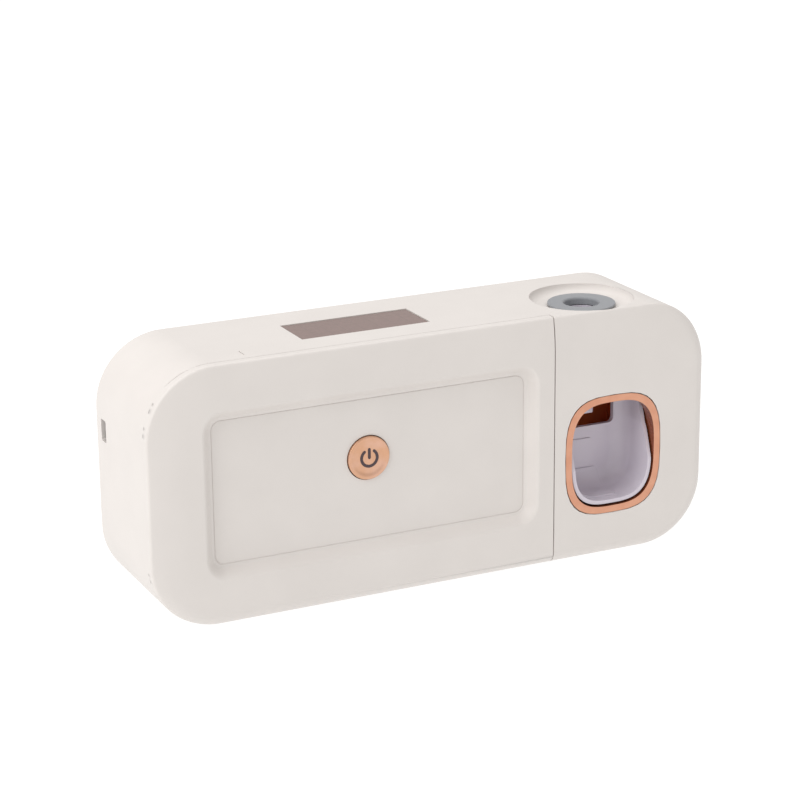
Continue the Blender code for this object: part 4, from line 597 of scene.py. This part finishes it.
bar = new_block("sign_bar", (SIGN[0] - STROKE / 2, SIGN_FACE, SIGN[1] - 0.0004),
                (SIGN[0] + STROKE / 2, SIGN_BACK, SIGN[1] + SIGN_RADIUS + 0.0001))
pick_edges(bar, lambda a, b: abs(a.y - b.y) > 1e-5)
bpy.ops.mesh.bevel(offset=STROKE * 0.49, segments=8, profile=0.5, affect="EDGES")
only(bar)
sign.select_set(True)
bpy.context.view_layer.objects.active = sign
bpy.ops.object.join()
smooth(sign)

# Smoked acrylic: a dark plum black, polished, with a faint haze.
smoked, tree, shader = new_material("smoked acrylic")
haze = noise(tree, 1500.0, 2.0)
tree.links.new(tone(tree, haze, "3A2A30", "4A363B"), shader.inputs["Base Color"])
shader.inputs["Roughness"].default_value = 0.28
sign.data.materials.append(smoked)
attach(sign, "button")


# Switch behind the button
# A small ABS housing on the back of the door with a push switch on its own board. Out of sight
# while the door is shut.

housing = eased("switch_housing", "switch_cover", 0.0002)
housing.data.materials.append(warm_abs)
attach(housing, "door")
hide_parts("switch_housing")

# Glass-epoxy board under green solder mask, with the weave of the glass cloth just showing. The
# weave is 0.4 mm, as in the real laminate.
board_green, tree, shader = new_material("green solder-masked board")
place = add(tree, "ShaderNodeTexCoord", {}, {})
weave = add(tree, "ShaderNodeTexChecker", {},
            {"Vector": place.outputs["Object"], "Scale": 2500.0,
             "Color1": linear("1F5A3A"), "Color2": linear("24633F")})
tree.links.new(weave.outputs["Color"], shader.inputs["Base Color"])
shader.inputs["Roughness"].default_value = 0.4
shader.inputs["Coat Weight"].default_value = 0.4

# Glass-filled nylon: black, dull, with a slightly grainy skin.
black_nylon, tree, shader = new_material("black glass-filled nylon")
grain = noise(tree, 3500.0, 2.0)
tree.links.new(tone(tree, grain, "19191B", "242427"), shader.inputs["Base Color"])
shader.inputs["Roughness"].default_value = 0.5
refinish("switch_board", board_green)
refinish("power_switch", black_nylon)


# Hinge pins and door magnets
# Ground steel pins through the lugs and the gooseneck arms, and nickel-plated magnets in cups at
# the bottom of the door, with their catches in the rack.

for node in ("hinge_pin_left", "hinge_pin_right"):
    refinish(node, plated_steel)

# Nickel plating on a pressed magnet: mirror-like, with a faint orange-peel from the pressed powder.
nickel, tree, shader = new_material("nickel-plated magnet")
peel = noise(tree, 1800.0, 1.0)
tree.links.new(between(tree, peel, 0.14, 0.26), shader.inputs["Roughness"])
tree.links.new(relief(tree, peel, 0.15, 0.00003), shader.inputs["Normal"])
shader.inputs["Base Color"].default_value = linear("C9C6BF")
shader.inputs["Metallic"].default_value = 1.0
for node, name, body in (("door_magnet_left", "door_disc_left", "door"),
                         ("door_magnet_right", "door_disc_right", "door"),
                         ("catch_magnet_left", "catch_disc_left", "casing"),
                         ("catch_magnet_right", "catch_disc_right", "casing")):
    disc = eased(node, name, 0.0002)
    disc.data.materials.append(nickel)
    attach(disc, body)
    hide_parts(node)


# Brush chamber
# A glossy light grey polystyrene lining that reflects the lamp's light, and a comb that four
# toothbrushes hang in by their necks.

# High-gloss polystyrene: even and bright, with the slight ripple of a thin moulded wall.
gloss_grey, tree, shader = new_material("glossy light grey polystyrene")
ripple = noise(tree, 90.0, 1.0)
tree.links.new(tone(tree, ripple, "CFD0D3", "D6D7DA"), shader.inputs["Base Color"])
tree.links.new(relief(tree, ripple, 0.08, 0.0003), shader.inputs["Normal"])
shader.inputs["Roughness"].default_value = 0.18
liner = eased("chamber_liner", "chamber_lining", 0.0003)
liner.data.materials.append(gloss_grey)
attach(liner, "casing")
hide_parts("chamber_liner")

comb = eased("brush_rack", "brush_comb", 0.00035, steps=3)
comb.data.materials.append(warm_abs)
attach(comb, "casing")
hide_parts("brush_rack")


# Ultraviolet lamps
# Three ceramic lamp packages with domed lenses on a strip board. They shine through a quartz
# window in the lining.

# Fused quartz: clear, faintly blue.
quartz, tree, shader = new_material("clear quartz")
streak = noise(tree, 120.0, 1.0)
tree.links.new(between(tree, streak, 0.02, 0.07), shader.inputs["Roughness"])
shader.inputs["Base Color"].default_value = linear("EAF4F8")
shader.inputs["Transmission Weight"].default_value = 0.92
shader.inputs["IOR"].default_value = 1.46
pane = eased("uv_window", "quartz_pane", 0.0002)
pane.data.materials.append(quartz)
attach(pane, "casing")
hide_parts("uv_window")

# Alumina ceramic: white, fine-grained, fired matt.
alumina, tree, shader = new_material("white alumina ceramic")
grain = noise(tree, 6000.0, 2.0)
tree.links.new(tone(tree, grain, "E6E3D6", "F2F0E6"), shader.inputs["Base Color"])
shader.inputs["Roughness"].default_value = 0.55
for number in range(1, 4):
    package = eased(f"uv_led_{number}", f"lamp_package_{number}", 0.00015)
    package.data.materials.append(alumina)
    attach(package, "casing")
    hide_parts(f"uv_led_{number}")
refinish("uv_board", board_green)


# Main board, charging socket and battery
# They sit between the lining and the rear plate. Only the socket's mouth is seen, in the left side.

refinish("main_board", board_green)
socket = eased("usb_socket", "charging_socket", 0.0001)
socket.data.materials.append(plated_steel)
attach(socket, "casing")
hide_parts("usb_socket")

# Laminated aluminium foil pouch: dull silver, slightly crinkled.
foil, tree, shader = new_material("aluminium foil pouch")
crinkle = noise(tree, 300.0, 4.0)
tree.links.new(relief(tree, crinkle, 0.3, 0.0003), shader.inputs["Normal"])
shader.inputs["Base Color"].default_value = linear("AEB2B8")
shader.inputs["Metallic"].default_value = 0.7
shader.inputs["Roughness"].default_value = 0.35
pouch = eased("battery", "battery_pouch", 0.0006, steps=3)
pouch.data.materials.append(foil)
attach(pouch, "casing")
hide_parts("battery")


# Solar panel
# Brown amorphous cells laminated under clear resin, glued flush in a pocket in the top.

# The strips are counted from beyond the panel's left end.
STRIP, STRIP_COUNT_SHIFT = 0.0059, 20.35

low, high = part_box("solar_panel")
panel = new_block("solar_cells", low, high)
pick_edges(panel, lambda a, b: a.z > high.z - 1e-5 and b.z > high.z - 1e-5)
bpy.ops.mesh.bevel(offset=0.00015, segments=3, profile=0.5, affect="EDGES")
smooth(close(panel))

# Amorphous silicon: plum brown strips 5.9 mm wide, parted by hair lines that the laser left. The
# real lines are 0.05 mm and are drawn at 0.12 mm.
cells, tree, shader = new_material("brown amorphous solar cells")
place = add(tree, "ShaderNodeTexCoord", {}, {})
parts = add(tree, "ShaderNodeSeparateXYZ", {}, {"Vector": place.outputs["Object"]})
strip = add(tree, "ShaderNodeMath", {"operation": "MULTIPLY_ADD"},
            {0: parts.outputs["X"], 1: 1 / STRIP, 2: STRIP_COUNT_SHIFT})
across = add(tree, "ShaderNodeMath", {"operation": "FRACT"}, {0: strip.outputs["Value"]})
line = add(tree, "ShaderNodeMath", {"operation": "LESS_THAN"},
           {0: across.outputs["Value"], 1: 0.02})
dust = noise(tree, 700.0, 4.0, 0.7)
brown = tone(tree, dust, "755D57", "826861", 0.3, 0.7)
colour = add(tree, "ShaderNodeMix", {"data_type": "RGBA"},
             {"Factor": line.outputs["Value"], 6: brown, 7: linear("6A5651")})
tree.links.new(colour.outputs[2], shader.inputs["Base Color"])
shader.inputs["Roughness"].default_value = 0.45
shader.inputs["Coat Weight"].default_value = 0.5
shader.inputs["Coat Roughness"].default_value = 0.25
panel.data.materials.append(cells)
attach(panel, "casing")
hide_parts("solar_panel")


# Window frame
# A plated ABS frame: a flat satin face, and a tunnel behind it that is polished. The tunnel shows
# the dark inside of the dispenser partly by real reflection and partly as a painted reflection in
# its colour.

WINDOW = (0.0673, 0.0375)
WINDOW_HALF = (0.0166, 0.0192)
FRAME_WIDTH, FRAME_THICKNESS = 0.0024, 0.0014
TUNNEL_WALL, TUNNEL_REAR = 0.0013, -0.0164
# Behind its mouth the tunnel goes straight up from a height, at this distance from the middle.
STRAIGHT_HALF, STRAIGHT_FROM = 0.0163, 0.0450


def window_form(name, grow, front, back, lift=0.0):
    """A block with the window's outline: a square rounded until its corners meet, made taller."""
    wide, tall = WINDOW_HALF[0] + grow, WINDOW_HALF[1] + grow
    middle = WINDOW[1] + lift
    form = new_block(name, (WINDOW[0] - wide, front, middle - wide),
                     (WINDOW[0] + wide, back, middle + wide))
    pick_edges(form, lambda a, b: abs(a.y - b.y) > 1e-5)
    bpy.ops.mesh.bevel(offset=wide * 0.995, segments=28, profile=0.64, affect="EDGES")
    bpy.ops.mesh.select_all(action="SELECT")
    bpy.ops.transform.resize(value=(1, 1, tall / wide), center_override=(WINDOW[0], 0, middle))
    return close(form)


trim = window_form("window_frame", FRAME_WIDTH, FRONT, FRONT + FRAME_THICKNESS)
combine(trim, window_form("trim_tunnel", TUNNEL_WALL, FRONT + 0.0005, TUNNEL_REAR), "UNION")
combine(trim, window_form("trim_hole", 0.0, FRONT - 0.002, TUNNEL_REAR + 0.002), "DIFFERENCE")
combine(trim, new_block("tunnel_corners", (WINDOW[0] - STRAIGHT_HALF, -0.0206, STRAIGHT_FROM),
                        (WINDOW[0] + STRAIGHT_HALF, TUNNEL_REAR + 0.002, 0.0600)), "DIFFERENCE")
round_edges(trim, 0.00022, steps=3)

# Polished plating, the same as the face's: glossy, with broken highlights. Its dark copper-brown
# base colour is a painted reflection of the dark well.
reflection_painted_plating, tree, shader = new_material("polished plating with painted dark reflection")
wave = noise(tree, 260.0, 2.0)
tree.links.new(relief(tree, wave, 0.5, 0.0006), shader.inputs["Normal"])
shader.inputs["Base Color"].default_value = linear("924E30")
shader.inputs["Metallic"].default_value = 0.6
shader.inputs["Roughness"].default_value = 0.16
trim.data.materials.append(rose_plating("deeper rose-gold plating", "CF9275", "D59B7E"))
trim.data.materials.append(reflection_painted_plating)
# The tunnel's inner faces take the plating whose dark colour is a painted reflection.
for face in trim.data.polygons:
    outwards = Vector((face.center.x - WINDOW[0], 0, face.center.z - WINDOW[1]))
    if face.center.y > FRONT + 0.0004 and face.normal.dot(outwards) < 0:
        face.material_index = 1
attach(trim, "casing")
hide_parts("window_ring")


# Dispenser well
# The dark metallised lining behind the window, held by three small screws. It carries the pin that
# the lever turns on.

# Metallised copper brown on ABS: red-brown and glossy, a little cloudy. Its base colour is painted
# much lighter than the real lining, as painted light for the little light that reaches deep in the
# window.
lightened_copper_brown, tree, shader = new_material("copper-brown lining painted lighter")
cloud = noise(tree, 200.0, 3.0)
tree.links.new(tone(tree, cloud, "E37543", "F08450"), shader.inputs["Base Color"])
shader.inputs["Roughness"].default_value = 0.3
shader.inputs["Coat Weight"].default_value = 0.3
well = merged_copy("dispenser_well", "well_lining")
combine(well, new_block("well_corners", (WINDOW[0] - STRAIGHT_HALF, -0.0170, STRAIGHT_FROM),
                        (WINDOW[0] + STRAIGHT_HALF, -0.0140, 0.0580)), "DIFFERENCE")
round_edges(well, 0.00015, steps=2)
well.data.materials.append(lightened_copper_brown)
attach(well, "casing")
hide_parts("dispenser_well")
for node in ("well_screw_1", "well_screw_2", "well_screw_3", "pump_screw_1", "pump_screw_2",
             "lever_pin"):
    refinish(node, plated_steel)


# Push lever
# A scoop of satin white polypropylene that fills the window. A toothbrush pushes its back plate.
# Its front edge slants back towards the top, and a notch leaves room for the nozzle.

# The lever's outline is the window's, this much smaller and this much higher.
LEVER_GROW, LEVER_LIFT = -0.0005, 0.0002
LEVER_RIM, LEVER_FLOOR, LEVER_REAR = -0.0242, -0.0070, -0.0052
LEVER_HALF, LEVER_TOP = 0.0157, 0.0558
UPPER_FROM, ARMS_FROM = 0.0385, 0.0505
WALL = 0.0013
SLANT_LOW, SLANT_HIGH, SLANT_DEPTH = 0.0330, 0.0590, 0.0085
NOTCH_HALF, NOTCH_LOW, NOTCH_HIGH = 0.0122, 0.0426, 0.0597


def scoop_form(name, inset, floor, rounding, steps):
    """The scoop drawn in by inset: the window's outline below, straight above, round behind."""
    form = window_form(name, LEVER_GROW - inset, LEVER_RIM - 0.003, floor, LEVER_LIFT)
    pick_edges(form, lambda a, b: a.y > floor - 1e-5 and b.y > floor - 1e-5)
    bpy.ops.mesh.bevel(offset=rounding, segments=steps, profile=0.5, affect="EDGES")
    close(form)
    half = LEVER_HALF - inset
    upper = new_block(name + "_upper", (WINDOW[0] - half, LEVER_RIM - 0.0027, UPPER_FROM),
                      (WINDOW[0] + half, floor - 0.00002, LEVER_TOP - inset))
    pick_edges(upper, lambda a, b: min(a.y, b.y) > floor - 1e-4 and abs(a.z - b.z) > 1e-4)
    bpy.ops.mesh.bevel(offset=rounding, segments=steps, profile=0.5, affect="EDGES")
    return combine(form, close(upper), "UNION")


lever = scoop_form("push_lever", 0.0, LEVER_REAR, 0.0072, 14)
combine(lever, new_block("rim_cut", (0.04, -0.04, 0.01), (0.10, LEVER_RIM, 0.07)), "DIFFERENCE")
arms = merged_copy("pusher_lever", "lever_arms")
combine(arms, new_block("arms_part", (0.0, -0.05, ARMS_FROM), (0.2, 0.05, 0.2)), "INTERSECT")
combine(lever, arms, "UNION")
combine(lever, scoop_form("lever_room", WALL, LEVER_FLOOR, 0.0062, 12), "DIFFERENCE")
slant = new_block("slant_tool", (0.04, -0.04, SLANT_LOW), (0.10, LEVER_RIM, SLANT_HIGH))
pick_edges(slant, lambda a, b: min(a.z, b.z) > SLANT_HIGH - 1e-5
           and min(a.y, b.y) > LEVER_RIM - 1e-5)
bpy.ops.transform.translate(value=(0, SLANT_DEPTH, 0))
combine(lever, close(slant), "DIFFERENCE")
notch = new_block("notch_tool", (DISH[0] - NOTCH_HALF, -0.04, NOTCH_LOW),
                  (DISH[0] + NOTCH_HALF, 0.02, NOTCH_HIGH))
pick_edges(notch, lambda a, b: abs(a.y - b.y) > 1e-5)
bpy.ops.mesh.bevel(offset=0.0018, segments=6, profile=0.5, affect="EDGES")
combine(lever, close(notch), "DIFFERENCE")

# Two raised pads follow the scoop's inside. Each has a lower left and an upper right corner.
for name, low, high in (("pad_upper", (0.0565, 0.0278), (0.0693, 0.0382)),
                        ("pad_lower", (0.0555, 0.0150), (0.0712, 0.0272))):
    pad = new_block(name, (low[0], LEVER_RIM + 0.004, low[1]),
                    (high[0], LEVER_REAR - 0.0005, high[1]))
    pick_edges(pad, lambda a, b: abs(a.y - b.y) > 1e-5)
    bpy.ops.mesh.bevel(offset=0.0020, segments=6, profile=0.5, affect="EDGES")
    combine(close(pad), scoop_form("pad_limit", WALL / 2, LEVER_REAR - 0.0004, 0.0066, 12),
            "INTERSECT")
    combine(pad, scoop_form("pad_room", WALL + 0.0005, LEVER_FLOOR - 0.0005, 0.0060, 12),
            "DIFFERENCE")
    combine(lever, pad, "UNION")
round_edges(lever, 0.0003, steps=2)

# Polypropylene: satin and slightly waxy, a cool white, with a faint drawn texture.
polypropylene, tree, shader = new_material("cool white polypropylene")
skin = noise(tree, 2500.0, 2.0)
cloud = noise(tree, 120.0, 2.0)
tree.links.new(tone(tree, cloud, "CFC8D3", "D6CFD9"), shader.inputs["Base Color"])
tree.links.new(relief(tree, skin, 0.08, 0.00004), shader.inputs["Normal"])
shader.inputs["Roughness"].default_value = 0.3
lever.data.materials.append(polypropylene)
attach(lever, "lever")
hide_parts("pusher_lever")


# Paste seal
# A grey silicone ring pressed into the dish. The neck of a toothpaste tube is pushed into its
# bore, which is eased at the top.

SEAL_RADIUS, SEAL_NECK, SEAL_BORE = 0.0120, 0.0094, 0.0062
SEAL_FLANGE = 0.0007

seal_low, seal_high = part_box("nozzle_seal")
seal = new_rod("paste_seal", (*DISH, seal_high.z - SEAL_FLANGE), (*DISH, seal_high.z), SEAL_RADIUS,
               sides=128)
combine(seal, new_rod("seal_neck", (*DISH, seal_low.z), (*DISH, seal_high.z - 0.0003), SEAL_NECK),
        "UNION")
combine(seal, new_rod("seal_bore", (*DISH, seal_low.z - 0.001), (*DISH, seal_high.z + 0.001),
                      SEAL_BORE), "DIFFERENCE")
for radius, ease, steps in ((SEAL_BORE, 0.0009, 5), (SEAL_RADIUS, 0.0003, 3)):
    pick_edges(seal, lambda a, b: min(a.z, b.z) > seal_high.z - 1e-5 and all(
        abs(math.hypot(v.x - DISH[0], v.y - DISH[1]) - radius) < 1e-4 for v in (a, b)))
    bpy.ops.mesh.bevel(offset=ease, segments=steps, profile=0.5, affect="EDGES")
smooth(close(seal))

# Silicone rubber: matt grey with a soft dusty bloom.
silicone, tree, shader = new_material("grey silicone rubber")
bloom = noise(tree, 500.0, 4.0)
tree.links.new(tone(tree, bloom, "87898E", "8E9094"), shader.inputs["Base Color"])
shader.inputs["Roughness"].default_value = 0.6
shader.inputs["Sheen Weight"].default_value = 0.15
seal.data.materials.append(silicone)
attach(seal, "casing")
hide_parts("nozzle_seal")


# Paste pump
# Cylinder, piston, inlet valve and return spring above the window. Only the tip of the nozzle
# shows, in the lever's notch.

TIP_HALF, TIP_LOW, TIP_BORE = 0.0036, 0.0478, 0.0020

refinish("inlet_valve", silicone)
refinish("pump_cylinder", polypropylene)
refinish("pump_piston", polypropylene)
refinish("return_spring", plated_steel)
nozzle_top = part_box("outlet_nozzle")[1].z
tip = new_block("nozzle_tip", (DISH[0] - TIP_HALF, DISH[1] - TIP_HALF, TIP_LOW),
                (DISH[0] + TIP_HALF, DISH[1] + TIP_HALF, nozzle_top))
pick_edges(tip, lambda a, b: abs(a.z - b.z) > 1e-4)
bpy.ops.mesh.bevel(offset=0.0010, segments=5, profile=0.5, affect="EDGES")
pick_edges(tip, lambda a, b: max(a.z, b.z) < TIP_LOW + 1e-4)
bpy.ops.mesh.bevel(offset=0.0003, segments=3, profile=0.5, affect="EDGES")
combine(close(tip), new_rod("tip_bore", (*DISH, 0.040), (*DISH, nozzle_top + 0.001), TIP_BORE,
                            sides=48), "DIFFERENCE")
smooth(tip)
tip.data.materials.append(polypropylene)
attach(tip, "piston")
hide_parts("outlet_nozzle")
